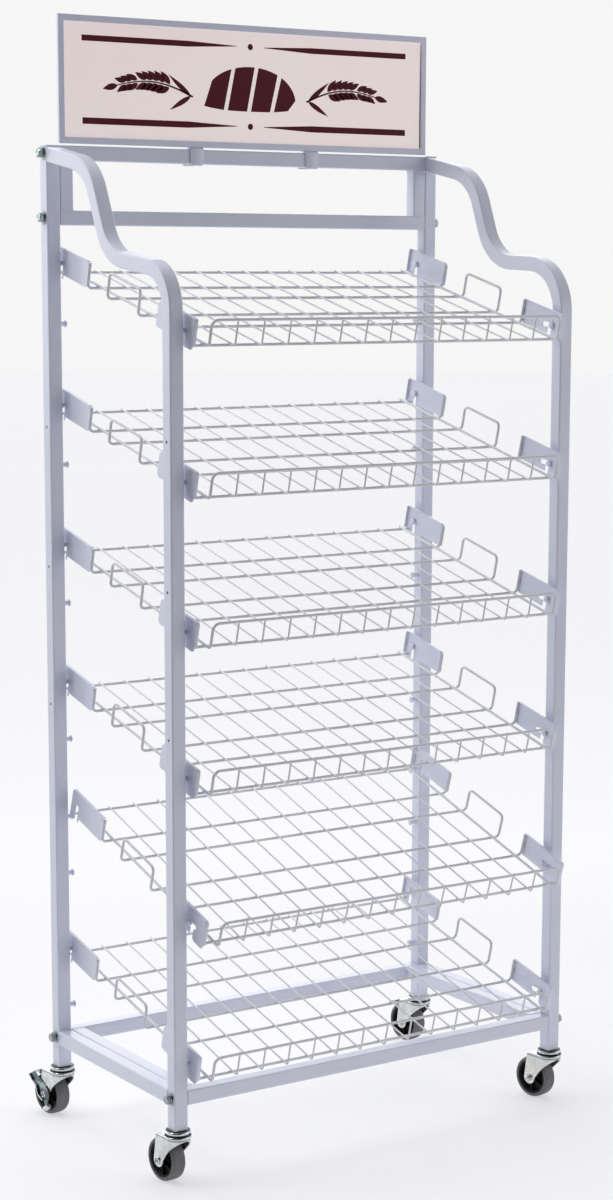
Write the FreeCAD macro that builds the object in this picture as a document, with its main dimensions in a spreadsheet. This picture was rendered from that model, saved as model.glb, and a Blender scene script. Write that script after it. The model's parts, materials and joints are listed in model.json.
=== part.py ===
import FreeCAD, Part
import Sketcher
import math
import os

from FreeCAD import Vector, Placement, Rotation

# Mobile wire-shelf bread rack.
# Millimetres.  +Z up, floor at z = 0, the rack's middle at x = 0 and y = 0,
# the front (where the shelves' lips are) towards -Y.

doc = FreeCAD.newDocument("BreadRack")
dims = doc.addObject("Spreadsheet::Sheet", "Dims")
D = {}


def cell(alias, value, note):
    row = len(D) + 1
    dims.set("A%d" % row, note)
    dims.set("B%d" % row, str(value))
    dims.setAlias("B%d" % row, alias)
    D[alias] = float(value)


cell("rackWidth", 812.8, "outside width over the posts")
cell("rackDepth", 432.8, "outside depth over the posts")
cell("tubeSide", 25.4, "square tube, outside")
cell("tubeWall", 1.6, "square tube, wall")
cell("tubeCorner", 2.6, "square tube, outside corner radius")
cell("postFoot", 97.0, "height of the posts' lower ends")
cell("postHead", 1710.4, "height of the rear posts' upper ends")
cell("baseLow", 138.0, "underside of the base frame")
cell("topGap", 133.4, "overall height of the ladder frame at the back of the top")
cell("boltHeight", 150.7, "height of the bolts in the base frame")
cell("boltShank", 9.5, "frame bolt diameter")
cell("boltHole", 10.0, "bolt hole in the posts")
cell("boltLength", 40.0, "frame bolt shank under its head")
cell("headAcross", 14.3, "bolt head across flats")
cell("headTall", 6.4, "bolt head height")
cell("washerWide", 22.0, "flat washer diameter")
cell("washerThick", 1.8, "flat washer thickness")
cell("springWasherWide", 16.0, "spring washer diameter")
cell("springWasherThick", 2.4, "spring washer thickness")
cell("plugSide", 22.1, "square plug inside a tube")
cell("plugLength", 12.0, "length of a rail-end nut plug")
cell("sideHole", 5.0, "small holes in the posts' outer faces")
cell("sideHoleLow", 753.8, "height of the lowest small hole")
cell("shelfPitch", 241.0, "height step of the shelves")
cell("studLow", 206.2, "height of the lowest front stud")
cell("studRise", 102.0, "how much higher the upper rear studs are")
cell("studShank", 8.0, "hanger stud shank diameter")
cell("studReach", 14.5, "hanger stud length from the post's face")
cell("studHead", 12.5, "hanger stud head diameter")
cell("studHeadThick", 2.5, "hanger stud head thickness")
cell("railFall", 9.5, "slope of the left handrail's rear run, degrees")
cell("railSteep", 65.5, "slope of the left handrail's middle run, degrees")
cell("railFlat", 6.4, "slope of the left handrail's front run, degrees")
cell("railBend", 85.0, "centre-line radius of the left handrail's two rear bends")
cell("railBendFront", 68.0, "centre-line radius of the bend over the left front post")
cell("railFallRight", 10.67, "slope of the right handrail's rear run, degrees")
cell("railSteepRight", 67.95, "slope of the right handrail's middle run, degrees")
cell("railFlatRight", 1.85, "slope of the right handrail's front run, degrees")
cell("railBendRight", 90.5, "centre-line radius of the right handrail's two rear bends")
cell("railBendFrontRight", 83.0, "centre-line radius of the bend over the right front post")
cell("wireThick", 4.9, "diameter of the cross wires and the lip wire")
cell("wireThin", 3.2, "diameter of the lengthwise wires")
cell("wirePitch", 50.0, "spacing of the lengthwise wires")
cell("gridHalf", 350.6, "half width of the lip wire")
cell("lipReach", 304.0, "distance of the lip in front of the middle cross wire")
cell("lipTall", 47.5, "height of the lip over the cross wires")
cell("loopHalf", 369.0, "half width over the side loops' centre lines")
cell("loopTall", 44.0, "height of the side loops")
cell("plateInner", 371.95, "distance of a hanger plate's inner face from the middle")
cell("plateThick", 1.5, "hanger plate thickness")
cell("plateTop", 45.3, "height of a hanger plate over the cross wires")
cell("flangeWide", 6.4, "hanger plate flange, inwards")
cell("slotHalf", 5.2, "half width of the rear plates' slot")
cell("studBack", 160.45, "upper rear stud from the middle cross wire, along the deck")
cell("studFront", 259.55, "front stud from the middle cross wire, along the deck")
cell("studOver", 18.8, "studs' height over the cross wires, square to the deck")
cell("tongue", 6.0, "how far the plates reach below the cross wires")
cell("wheelRadius", 37.5, "caster wheel radius")
cell("wheelWide", 26.0, "caster wheel width")
cell("hubRim", 31.0, "radius of the wheel's hub rim")
cell("hubWide", 30.0, "length of the hub over its bosses")
cell("hubBore", 8.15, "bore of the hub")
cell("axleThick", 8.0, "axle diameter")
cell("trail", 32.0, "distance of the axle behind the swivel axis")
cell("forkInside", 32.0, "inside width of the fork")
cell("forkSheet", 2.5, "fork sheet thickness")
cell("cupWide", 44.0, "diameter of the fixed swivel cup")
cell("discWide", 47.0, "diameter of the fork's swivel disc")
cell("kingpin", 10.0, "swivel kingpin diameter")
cell("brakeSheet", 2.0, "brake lever sheet thickness")
cell("signWide", 762.0, "outside width of the sign frame")
cell("signTall", 213.3, "outside height of the sign frame")
cell("signLow", 1713.7, "underside of the sign frame")
cell("signDeep", 8.0, "depth of the sign frame")
cell("signFace", 11.0, "face width of the sign frame")
cell("cardThick", 3.0, "thickness of the sign card")
cell("clipWide", 26.4, "width of a sign clip")
cell("clipSheet", 2.5, "sign clip thickness")
doc.recompute()

S = D["tubeSide"]
HX = D["rackWidth"] / 2.0                      # posts' outer faces
HY = D["rackDepth"] / 2.0
PX = HX - S / 2.0                              # post centre lines
PY = HY - S / 2.0
IX = HX - S                                    # posts' inner faces
IY = HY - S
PARTS = []                                     # (node name, object)


def keep(name, obj):
    obj.Label = name
    PARTS.append((name, obj))
    return obj


# ------------------------------------------------------------- sketch helpers
def plane(body, role):
    for feature in body.Origin.OriginFeatures:
        if feature.Role == role:
            return feature
    raise RuntimeError("no plane " + role)


def body(name):
    return doc.addObject("PartDesign::Body", name)


def sketch(owner, role, name, offset=None):
    sk = owner.newObject("Sketcher::SketchObject", name)
    sk.AttachmentSupport = [(plane(owner, role), "")]
    sk.MapMode = "FlatFace"
    if offset is not None:
        sk.AttachmentOffset = offset
    return sk


def rectangle(sk, wide, tall, wide_expr=None, tall_expr=None):
    # a rectangle centred on the sketch's origin
    i = sk.GeometryCount
    w, t = wide / 2.0, tall / 2.0
    p = [Vector(-w, -t, 0), Vector(w, -t, 0), Vector(w, t, 0), Vector(-w, t, 0)]
    for a in range(4):
        sk.addGeometry(Part.LineSegment(p[a], p[(a + 1) % 4]), False)
    for a in range(4):
        sk.addConstraint(Sketcher.Constraint("Coincident", i + a, 2, i + (a + 1) % 4, 1))
    sk.addConstraint(Sketcher.Constraint("Horizontal", i))
    sk.addConstraint(Sketcher.Constraint("Horizontal", i + 2))
    sk.addConstraint(Sketcher.Constraint("Vertical", i + 1))
    sk.addConstraint(Sketcher.Constraint("Vertical", i + 3))
    sk.addConstraint(Sketcher.Constraint("Symmetric", i, 1, i + 2, 1, -1, 1))
    c = sk.addConstraint(Sketcher.Constraint("DistanceX", i, 1, i, 2, wide))
    if wide_expr:
        sk.setExpression("Constraints[%d]" % c, wide_expr)
    c = sk.addConstraint(Sketcher.Constraint("DistanceY", i + 1, 1, i + 1, 2, tall))
    if tall_expr:
        sk.setExpression("Constraints[%d]" % c, tall_expr)


def circle(sk, radius, expr=None, at=(0.0, 0.0)):
    i = sk.GeometryCount
    sk.addGeometry(Part.Circle(Vector(at[0], at[1], 0), Vector(0, 0, 1), radius), False)
    if at == (0.0, 0.0):
        sk.addConstraint(Sketcher.Constraint("Coincident", i, 3, -1, 1))
    c = sk.addConstraint(Sketcher.Constraint("Radius", i, radius))
    if expr:
        sk.setExpression("Constraints[%d]" % c, expr)


def polygon(sk, points):
    i = sk.GeometryCount
    n = len(points)
    for a in range(n):
        p, q = points[a], points[(a + 1) % n]
        sk.addGeometry(Part.LineSegment(Vector(p[0], p[1], 0), Vector(q[0], q[1], 0)), False)
    for a in range(n):
        sk.addConstraint(Sketcher.Constraint("Coincident", i + a, 2, i + (a + 1) % n, 1))


def pad(owner, sk, length, expr=None, symmetric=False, name="Pad"):
    f = owner.newObject("PartDesign::Pad", name)
    f.Profile = sk
    if symmetric:
        f.SideType = "Symmetric"
    f.Length = length
    if expr:
        f.setExpression("Length", expr)
    doc.recompute()
    return f


def pocket(owner, sk, length, symmetric=True, reverse=False, name="Pocket", expr=None):
    before = owner.Shape.Volume
    f = owner.newObject("PartDesign::Pocket", name)
    f.Profile = sk
    if symmetric:
        f.SideType = "Symmetric"
    f.Length = length
    if expr:
        f.setExpression("Length", expr)
    f.Reversed = reverse
    doc.recompute()
    if not owner.Shape.Volume < before - 1e-3:
        raise RuntimeError("pocket cuts nothing in " + owner.Name)
    return f


def fillet(owner, feature, radius, pick, expr=None, name="Fillet"):
    names = []
    for n, e in enumerate(feature.Shape.Edges):
        if pick(e):
            names.append("Edge%d" % (n + 1))
    if not names:
        raise RuntimeError("no edges to round in " + owner.Name)
    f = owner.newObject("PartDesign::Fillet", name)
    f.Base = (feature, names)
    f.Radius = radius
    if expr:
        f.setExpression("Radius", expr)
    doc.recompute()
    return f


def revolve(owner, sk, axis="V_Axis"):
    f = owner.newObject("PartDesign::Revolution", "Revolution")
    f.Profile = sk
    f.ReferenceAxis = (sk, [axis])
    f.Angle = 360.0
    doc.recompute()
    return f


def at(obj, x, y, z, rotation=None, ex=None, ey=None, ez=None):
    obj.Placement = Placement(Vector(x, y, z), rotation or Rotation())
    for axis, expr in (("x", ex), ("y", ey), ("z", ez)):
        if expr:
            obj.setExpression(".Placement.Base." + axis, expr)


# rotations that turn a body's own +Z along another axis
ALONG_X = Rotation(Vector(0, 1, 0), 90)
ALONG_Y = Rotation(Vector(1, 0, 0), -90)


def tube(name, length, expr, hollow=True):
    # square tube along the body's own Z, from z = 0
    b = body(name)
    sk = sketch(b, "XY_Plane", name + "_section")
    rectangle(sk, S, S, "Dims.tubeSide", "Dims.tubeSide")
    inner = S - 2 * D["tubeWall"]
    rectangle(sk, inner, inner, "Dims.tubeSide - 2 * Dims.tubeWall",
              "Dims.tubeSide - 2 * Dims.tubeWall")
    p = pad(b, sk, length, expr)
    half = S / 2.0

    def corner(e):
        v = [q.Point for q in e.Vertexes]
        return (len(v) == 2 and abs(v[0].x - v[1].x) < 1e-6 and abs(v[0].y - v[1].y) < 1e-6
                and abs(abs(v[0].x) - half) < 1e-6 and abs(abs(v[0].y) - half) < 1e-6)

    fillet(b, p, D["tubeCorner"], corner, "Dims.tubeCorner")
    return b


def cross_holes(b, heights, radius, expr, name, wall_side=0):
    # round holes along X at the given heights; wall_side picks one wall only
    for n, h in enumerate(heights):
        off = Placement(Vector(0, h, 0), Rotation())
        if wall_side:
            off = Placement(Vector(0, h, wall_side * S / 2.0), Rotation())
        sk = sketch(b, "YZ_Plane", "%s_%d" % (name, n), off)
        circle(sk, radius, expr)
        pocket(b, sk, S * 2 if not wall_side else 8.0, symmetric=True, name="%s_cut_%d" % (name, n))


# ---------------------------------------------------------------- frame tubes
HOLES = [D["sideHoleLow"] + i * D["shelfPitch"] for i in range(3)]
TOP_LOW = D["postHead"] - D["topGap"]          # underside of the ladder frame
BOLTS_TOP = [D["postHead"] - S / 2.0, TOP_LOW + S / 2.0]

for side, sx in (("left", -1), ("right", 1)):
    post = tube("rear_post_" + side, D["postHead"] - D["postFoot"], "Dims.postHead - Dims.postFoot")
    cross_holes(post, [z - D["postFoot"] for z in [D["boltHeight"]] + BOLTS_TOP],
                D["boltHole"] / 2.0, "Dims.boltHole / 2", "bolt_hole")
    cross_holes(post, [z - D["postFoot"] for z in HOLES], D["sideHole"] / 2.0,
                "Dims.sideHole / 2", "side_hole", wall_side=sx)
    at(post, sx * PX, PY, D["postFoot"],
       ex="%d * (Dims.rackWidth - Dims.tubeSide) / 2" % sx,
       ey="(Dims.rackDepth - Dims.tubeSide) / 2", ez="Dims.postFoot")
    keep("rear_post_" + side, post)

# The front post and the handrail are one tube: up the front, back at a slight
# rise, steeply up, and on to the rear post's head.
# The two sides were bent a little differently, so each has its own slopes and bends.
deg = math.pi / 180.0
y_end = IY


def meet(p, m, q, n):
    y = (q[1] - p[1] + m * p[0] - n * q[0]) / (m - n)
    return (y, p[1] + m * (y - p[0]))


def handrail(z_end, flat_ref, steep_ref, tail):
    # meeting points of the centre lines, (y, z)
    ta, ts, tb = (math.tan(D[k + tail] * deg) for k in ("railFall", "railSteep", "railFlat"))
    rear = meet((y_end, z_end), ta, steep_ref, ts)
    mid = meet(steep_ref, ts, flat_ref, tb)
    front = (-PY, flat_ref[1] + tb * (-PY - flat_ref[0]))
    return [(-PY, D["postFoot"]), front, mid, rear, (y_end + 8.0, z_end + 8.0 * ta)]


RAILS = {"left": (1694.5, handrail(1694.5, (-94.3, 1515.4), (18.5, 1588.1), ""), ""),
         "right": (1697.0, handrail(1697.0, (-100.0, 1517.62), (24.22, 1595.99), "Right"), "Right")}


def rounded(points, radii):
    # straight runs joined by tangent arcs, as ("line", a, b) and ("arc", a, mid, b)
    out = []
    start = Vector(*points[0])
    for i in range(1, len(points) - 1):
        p, c, q = Vector(*points[i - 1]), Vector(*points[i]), Vector(*points[i + 1])
        u = (p - c).normalize()
        v = (q - c).normalize()
        half = u.getAngle(v) / 2.0
        r = radii[i - 1]
        reach = r / math.tan(half)
        a, b = c + u * reach, c + v * reach
        mid_dir = (u + v).normalize()
        centre = c + mid_dir * (r / math.sin(half))
        mid = centre - mid_dir * r
        if (a - start).Length > 1e-6:
            out.append(("line", start, a))
        out.append(("arc", a, mid, b, centre, r))
        start = b
    out.append(("line", start, Vector(*points[-1])))
    return out


for side, sx in (("left", -1), ("right", 1)):
    post = body("front_post_" + side)
    path = sketch(post, "YZ_Plane", "rail_path")
    z_end, route, tail = RAILS[side]
    bends = [D["railBendFront" + tail], D["railBend" + tail], D["railBend" + tail]]
    flat = [(p[0] + PY, p[1] - D["postFoot"], 0.0) for p in route]
    runs = rounded(flat, bends)
    kinds = []
    for piece in runs:
        if piece[0] == "line":
            path.addGeometry(Part.LineSegment(piece[1], piece[2]), False)
        else:
            path.addGeometry(Part.Arc(piece[1], piece[2], piece[3]), False)
        kinds.append(piece)

    def end_at(geo, point):
        # which end of a geometry lies at a point
        for pos in (1, 2):
            if (path.getPoint(geo, pos) - point).Length < 1e-4:
                return pos
        raise RuntimeError("path end not found")

    for i in range(len(kinds) - 1):
        joint = kinds[i][2] if kinds[i][0] == "line" else kinds[i][3]
        path.addConstraint(Sketcher.Constraint("Tangent", i, end_at(i, joint),
                                               i + 1, end_at(i + 1, joint)))
    path.addConstraint(Sketcher.Constraint("Coincident", 0, end_at(0, kinds[0][1]), -1, 1))
    path.addConstraint(Sketcher.Constraint("Vertical", 0))
    names = ["Dims.railBendFront" + tail, "Dims.railBend" + tail, "Dims.railBend" + tail]
    k = 0
    for i, piece in enumerate(kinds):
        if piece[0] == "arc":
            c = path.addConstraint(Sketcher.Constraint("Radius", i, piece[5]))
            path.setExpression("Constraints[%d]" % c, names[k])
            k += 1
    section = sketch(post, "XY_Plane", "rail_section")
    rectangle(section, S, S, "Dims.tubeSide", "Dims.tubeSide")
    inner = S - 2 * D["tubeWall"]
    rectangle(section, inner, inner, "Dims.tubeSide - 2 * Dims.tubeWall",
              "Dims.tubeSide - 2 * Dims.tubeWall")
    doc.recompute()
    pipe = post.newObject("PartDesign::AdditivePipe", "rail_pipe")
    pipe.Profile = section
    pipe.Spine = path
    doc.recompute()
    half = S / 2.0

    def outer_long(e):
        # the four outer corner lines of every run and bend
        if e.Length < 20:
            return False
        ok = 0
        for v in e.Vertexes:
            if abs(abs(v.Point.x) - half) < 1e-4:
                ok += 1
        if ok != len(e.Vertexes) or len(e.Vertexes) != 2:
            return False
        a, b = e.Vertexes[0].Point, e.Vertexes[1].Point
        return abs(a.x - b.x) < 1e-4 and (a - b).Length > S * 1.1

    fillet(post, pipe, D["tubeCorner"], outer_long, "Dims.tubeCorner")
    trim = sketch(post, "YZ_Plane", "trim_behind",
                  Placement(Vector(y_end + PY + 40.0, z_end - D["postFoot"], 0), Rotation()))
    rectangle(trim, 80.0, 120.0)
    pocket(post, trim, 60.0, name="trim")
    cross_holes(post, [D["boltHeight"] - D["postFoot"]], D["boltHole"] / 2.0,
                "Dims.boltHole / 2", "bolt_hole")
    cross_holes(post, [z - D["postFoot"] for z in HOLES], D["sideHole"] / 2.0,
                "Dims.sideHole / 2", "side_hole", wall_side=sx)
    at(post, sx * PX, -PY, D["postFoot"],
       ex="%d * (Dims.rackWidth - Dims.tubeSide) / 2" % sx,
       ey="-(Dims.rackDepth - Dims.tubeSide) / 2", ez="Dims.postFoot")
    keep("front_post_" + side, post)

ZB = D["baseLow"] + S / 2.0
for side, sx in (("left", -1), ("right", 1)):
    rail = tube("side_rail_" + side, 2 * IY, "Dims.rackDepth - 2 * Dims.tubeSide")
    at(rail, sx * PX, -IY, ZB, ALONG_Y, ez="Dims.baseLow + Dims.tubeSide / 2")
    keep("side_rail_" + side, rail)
    rail = tube("base_rail_" + side, 2 * IY, "Dims.rackDepth - 2 * Dims.tubeSide")
    at(rail, sx * (IX - S / 2.0), -IY, ZB, ALONG_Y, ez="Dims.baseLow + Dims.tubeSide / 2")
    keep("base_rail_" + side, rail)
for end, sy in (("front", -1), ("rear", 1)):
    rail = tube("base_rail_" + end, 2 * IX, "Dims.rackWidth - 2 * Dims.tubeSide")
    at(rail, -IX, sy * PY, ZB, ALONG_X, ez="Dims.baseLow + Dims.tubeSide / 2")
    keep("base_rail_" + end, rail)
for tag, z, ez in (("upper", D["postHead"] - S / 2.0, "Dims.postHead - Dims.tubeSide / 2"),
                   ("lower", TOP_LOW + S / 2.0, "Dims.postHead - Dims.topGap + Dims.tubeSide / 2")):
    rail = tube("top_rail_" + tag, 2 * IX, "Dims.rackWidth - 2 * Dims.tubeSide")
    at(rail, -IX, PY, z, ALONG_X, ez=ez)
    keep("top_rail_" + tag, rail)


# -------------------------------------------------- groups of identical pieces
def group(name, master, places):
    # one object that holds a copy of the master's shape at each place
    base = master.Shape.copy() if hasattr(master, "Shape") else master.copy()
    base.Placement = Placement()
    solids = []
    for pl in places:
        s = base.copy()
        s.Placement = pl
        solids.extend(s.Solids)
    obj = doc.addObject("Part::Feature", name)
    obj.Shape = Part.makeCompound(solids)
    obj.Placement = Placement()
    return keep(name, obj)


upright = tube("upright_master", D["topGap"] - 2 * S, "Dims.topGap - 2 * Dims.tubeSide")
group("top_uprights", upright,
      [Placement(Vector(sx * (IX - S / 2.0), PY, TOP_LOW + S), Rotation()) for sx in (-1, 1)])

# square plug with a threaded bore, welded into every bolted rail end
plug = body("rail_plug_master")
sk = sketch(plug, "XY_Plane", "plug_section")
rectangle(sk, D["plugSide"], D["plugSide"], "Dims.plugSide", "Dims.plugSide")
circle(sk, D["boltShank"] / 2.0 + 0.05, "Dims.boltShank / 2 + 0.05")
pad(plug, sk, D["plugLength"], "Dims.plugLength")
BOLTS = [(sy * PY, D["boltHeight"]) for sy in (-1, 1)] + [(PY, z) for z in BOLTS_TOP]
places = []
for y, z in BOLTS:
    places.append(Placement(Vector(IX - D["plugLength"] - 1.0, y, z), ALONG_X))
    places.append(Placement(Vector(-IX + 1.0, y, z), ALONG_X))
group("rail_end_nuts", plug, places)

# hexagon-headed frame bolt, head outwards along its own +Z
bolt = body("frame_bolt_master")
sk = sketch(bolt, "XY_Plane", "shank_section")
circle(sk, D["boltShank"] / 2.0, "Dims.boltShank / 2")
pad(bolt, sk, D["boltLength"], "Dims.boltLength", name="shank")
sk = sketch(bolt, "XY_Plane", "head_section", Placement(Vector(0, 0, D["boltLength"]), Rotation()))
ra = D["headAcross"] / math.sqrt(3.0)
polygon(sk, [(ra * math.cos(a * 60 * deg), ra * math.sin(a * 60 * deg)) for a in range(6)])
head = pad(bolt, sk, D["headTall"], "Dims.headTall", name="head")
cone = bolt.newObject("PartDesign::Chamfer", "head_chamfer")
top = D["boltLength"] + D["headTall"]
cone.Base = (head, ["Edge%d" % (n + 1) for n, e in enumerate(head.Shape.Edges)
                    if all(abs(v.Point.z - top) < 1e-6 for v in e.Vertexes)])
cone.Size = 0.8
doc.recompute()
STACK = D["washerThick"] + D["springWasherThick"]
OUT_X = Rotation(Vector(0, 1, 0), 90)          # own +Z to +X
OUT_MX = Rotation(Vector(0, 1, 0), -90)        # own +Z to -X
places = []
for y, z in BOLTS:
    places.append(Placement(Vector(HX + STACK - D["boltLength"], y, z), OUT_X))
    places.append(Placement(Vector(-HX - STACK + D["boltLength"], y, z), OUT_MX))
group("frame_bolts", bolt, places)

# flat washer and spring washer under every bolt head
flat_w = Part.makeCylinder(D["washerWide"] / 2.0, D["washerThick"]).cut(
    Part.makeCylinder(5.0, D["washerThick"]))
spring_w = Part.makeCylinder(D["springWasherWide"] / 2.0, D["springWasherThick"],
                             Vector(0, 0, D["washerThick"])).cut(
    Part.makeCylinder(5.0, D["springWasherThick"], Vector(0, 0, D["washerThick"])))
stack = Part.makeCompound([flat_w, spring_w])
places = []
for y, z in BOLTS:
    places.append(Placement(Vector(HX, y, z), OUT_X))
    places.append(Placement(Vector(-HX, y, z), OUT_MX))
group("frame_washers", stack, places)

# headed stud, shank from its own z = 0 outwards
stud = body("stud_master")
sk = sketch(stud, "XZ_Plane", "stud_profile")
rs, rh = D["studShank"] / 2.0, D["studHead"] / 2.0
lh, ls = D["studReach"], D["studReach"] - D["studHeadThick"]
polygon(sk, [(0, 0), (rs, 0), (rs, ls), (rh, ls), (rh, lh - 0.9), (rh - 1.4, lh), (0, lh)])
revolve(stud, sk)
STUDS = []
for i in range(6):
    z = D["studLow"] + i * D["shelfPitch"]
    STUDS += [(-PY, z), (PY, z), (PY, z + D["studRise"])]
places = []
for y, z in STUDS:
    places.append(Placement(Vector(-IX, y, z), OUT_X))
    places.append(Placement(Vector(IX, y, z), OUT_MX))
group("hanger_studs", stud, places)

# plates welded into the rear posts' heads
cap = Part.makeBox(D["plugSide"], D["plugSide"], 2.0,
                   Vector(-D["plugSide"] / 2.0, -D["plugSide"] / 2.0, 0))
group("post_caps", cap, [Placement(Vector(sx * PX, PY, D["postHead"] - 2.0), Rotation())
                         for sx in (-1, 1)])

# --------------------------------------------------------------------- casters
CORNERS = {"front_left": (-PX, -PY, -5.6, -1), "front_right": (PX, -PY, -10.2, 1),
           "rear_left": (-PX, PY, -8.0, -1), "rear_right": (PX, PY, -8.0, 1)}
FEET = [Placement(Vector(c[0], c[1], 0), Rotation()) for c in CORNERS.values()]
ZP = D["postFoot"]

socket = body("socket_master")
sk = sketch(socket, "XY_Plane", "socket_section")
rectangle(sk, D["plugSide"], D["plugSide"], "Dims.plugSide", "Dims.plugSide")
circle(sk, 5.55)
pad(socket, sk, 34.0)
group("caster_sockets", socket, [Placement(Vector(p.Base.x, p.Base.y, ZP + 0.1), Rotation())
                                 for p in FEET])

# fixed swivel cup, its threaded stem above and its kingpin below, one turned piece
stem = body("stem_master")
sk = sketch(stem, "XZ_Plane", "stem_profile")
rc = D["cupWide"] / 2.0
rk = D["kingpin"] / 2.0
polygon(sk, [(0, 80.4), (7.0, 80.4), (8.0, 81.4), (8.0, 82.4), (rk, 82.4), (rk, 92.8),
             (19.0, 92.8), (19.0, 89.4), (rc - 0.6, 89.4), (rc, 90.4), (rc, 95.2), (rc - 1.8, ZP),
             (5.5, ZP), (5.5, ZP + 34.0), (4.5, ZP + 35.0), (0, ZP + 35.0)])
revolve(stem, sk)
group("caster_stems", stem, FEET)

ball = Part.makeSphere(2.4)
places = []
for p in FEET:
    for n in range(14):
        a = n * 2 * math.pi / 14
        places.append(Placement(p.Base + Vector(16.3 * math.cos(a), 16.3 * math.sin(a), 90.3),
                                Rotation()))
group("swivel_balls", ball, places)

TR = D["trail"]
RW = D["wheelRadius"]
FI = D["forkInside"] / 2.0
FO = FI + D["forkSheet"]


def turn(yaw):
    # trail direction is (sin yaw, cos yaw)
    return Rotation(Vector(0, 0, 1), -yaw)


for corner, (cx, cy, yaw, out) in CORNERS.items():
    pose = Placement(Vector(cx, cy, 0), turn(yaw))
    name = "caster_%s_" % corner
    # pressed fork: side profile through the whole width, trimmed to straight legs and a
    # rounded front, wheel space cut out, disc on top
    fork = body(name + "fork")
    sk = sketch(fork, "YZ_Plane", "side_profile")
    a0, a1 = Vector(-23.0, 84.0, 0), Vector(TR + 5.0, 84.0, 0)
    back = Vector(TR + 11.4, RW - 1.0, 0)
    low = Vector(TR - 1.0, RW - 11.3, 0)
    front = Vector(TR - 13.4, RW + 0.8, 0)
    knee = Vector(-8.0, 67.5, 0)
    nose = Vector(-23.0, 80.8, 0)
    sk.addGeometry(Part.LineSegment(a0, a1), False)
    sk.addGeometry(Part.LineSegment(a1, back), False)
    sk.addGeometry(Part.Arc(back, low, front), False)
    sk.addGeometry(Part.Arc(front, Vector(6.6, 53.6, 0), knee), False)
    sk.addGeometry(Part.LineSegment(knee, nose), False)
    sk.addGeometry(Part.LineSegment(nose, a0), False)
    p = pad(fork, sk, 2 * FO, "Dims.forkInside + 2 * Dims.forkSheet", symmetric=True)

    def hoop(sk, half, y_end):
        # straight sides joined by a half circle round the front
        r = Vector(half, -3.0, 0)
        l = Vector(-half, -3.0, 0)
        sk.addGeometry(Part.Arc(l, Vector(0, -3.0 - half, 0), r), False)
        sk.addGeometry(Part.LineSegment(r, Vector(half, y_end, 0)), False)
        sk.addGeometry(Part.LineSegment(Vector(half, y_end, 0), Vector(-half, y_end, 0)), False)
        sk.addGeometry(Part.LineSegment(Vector(-half, y_end, 0), l), False)

    sk = sketch(fork, "XY_Plane", "outline_from_above", Placement(Vector(0, 0, 42.0), Rotation()))
    polygon(sk, [(-60, -60), (60, -60), (60, 90), (-60, 90)])
    hoop(sk, FO, 75.0)
    pocket(fork, sk, 100.0, name="Trim")
    sk = sketch(fork, "XY_Plane", "wheel_space", Placement(Vector(0, 0, 41.5), Rotation()))
    hoop(sk, FI, 80.0)
    cut = pocket(fork, sk, 80.0, name="WheelSpace")

    def top_long(e):
        v = [q.Point for q in e.Vertexes]
        return (len(v) == 2 and all(abs(q.z - 84.0) < 1e-6 and abs(abs(q.x) - FO) < 1e-6 for q in v)
                and abs(v[0].y - v[1].y) > 20)

    fillet(fork, cut, 2.2, top_long)
    sk = sketch(fork, "XY_Plane", "disc", Placement(Vector(0, 0, 82.0), Rotation()))
    circle(sk, D["discWide"] / 2.0, "Dims.discWide / 2")
    disc = pad(fork, sk, 5.8)

    def rim(e):
        return (e.Curve.TypeId == "Part::GeomCircle" and abs(e.Curve.Radius - D["discWide"] / 2.0) < 1e-6
                and abs(e.Curve.Center.z - 87.8) < 1e-6)

    fillet(fork, disc, 1.6, rim)
    sk = sketch(fork, "XY_Plane", "kingpin_hole", Placement(Vector(0, 0, 84.0), Rotation()))
    circle(sk, D["kingpin"] / 2.0 + 0.06, "Dims.kingpin / 2 + 0.06")
    pocket(fork, sk, 30.0)
    sk = sketch(fork, "XY_Plane", "rivet_recess", Placement(Vector(0, 0, 82.6), Rotation()))
    circle(sk, 8.6)
    pocket(fork, sk, 4.0, symmetric=False, reverse=False)
    sk = sketch(fork, "YZ_Plane", "axle_hole", Placement(Vector(TR, RW, 0), Rotation()))
    circle(sk, D["axleThick"] / 2.0 + 0.05, "Dims.axleThick / 2 + 0.05")
    pocket(fork, sk, 60.0)
    fork.Placement = pose
    keep(name + "fork", fork)

    # axle: domed head on the outer side, nut on the inner side
    axle = body(name + "axle")
    sk = sketch(axle, "XZ_Plane", "axle_profile")
    ha, ra = D["axleThick"] / 2.0, 6.2
    x0, x1 = -FO - 5.2, FO + 3.2
    polygon(sk, [(0, x0 - 2.0), (ha - 0.8, x0 - 2.0), (ha, x0 - 1.0), (ha, x0), (ra, x0),
                 (ra, -FO - 0.02), (ha, -FO - 0.02), (ha, FO + 0.02), (6.5, FO + 0.02),
                 (6.5, x1 - 1.2), (4.6, x1), (0, x1)])
    revolve(axle, sk)
    spin = Rotation(Vector(0, 1, 0), 90 * out)
    axle.Placement = pose.multiply(Placement(Vector(0, TR, RW), spin))
    keep(name + "axle", axle)

    # wheel: turned hub with a dished web, and the tyre round it
    hub = body(name + "hub")
    sk = sketch(hub, "XZ_Plane", "hub_profile")
    hb, hr, hw = D["hubBore"] / 2.0, D["hubRim"], D["hubWide"] / 2.0
    ww = D["wheelWide"] / 2.0
    polygon(sk, [(hb, -hw), (8.2, -hw), (9.2, -hw + 1.0), (10.0, -4.5), (24.5, -3.5),
                 (27.6, -ww + 1.2), (hr, -ww + 1.2), (hr, ww - 1.2), (27.6, ww - 1.2), (24.5, 3.5),
                 (10.0, 4.5), (9.2, hw - 1.0), (8.2, hw), (hb, hw)])
    revolve(hub, sk)
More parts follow.
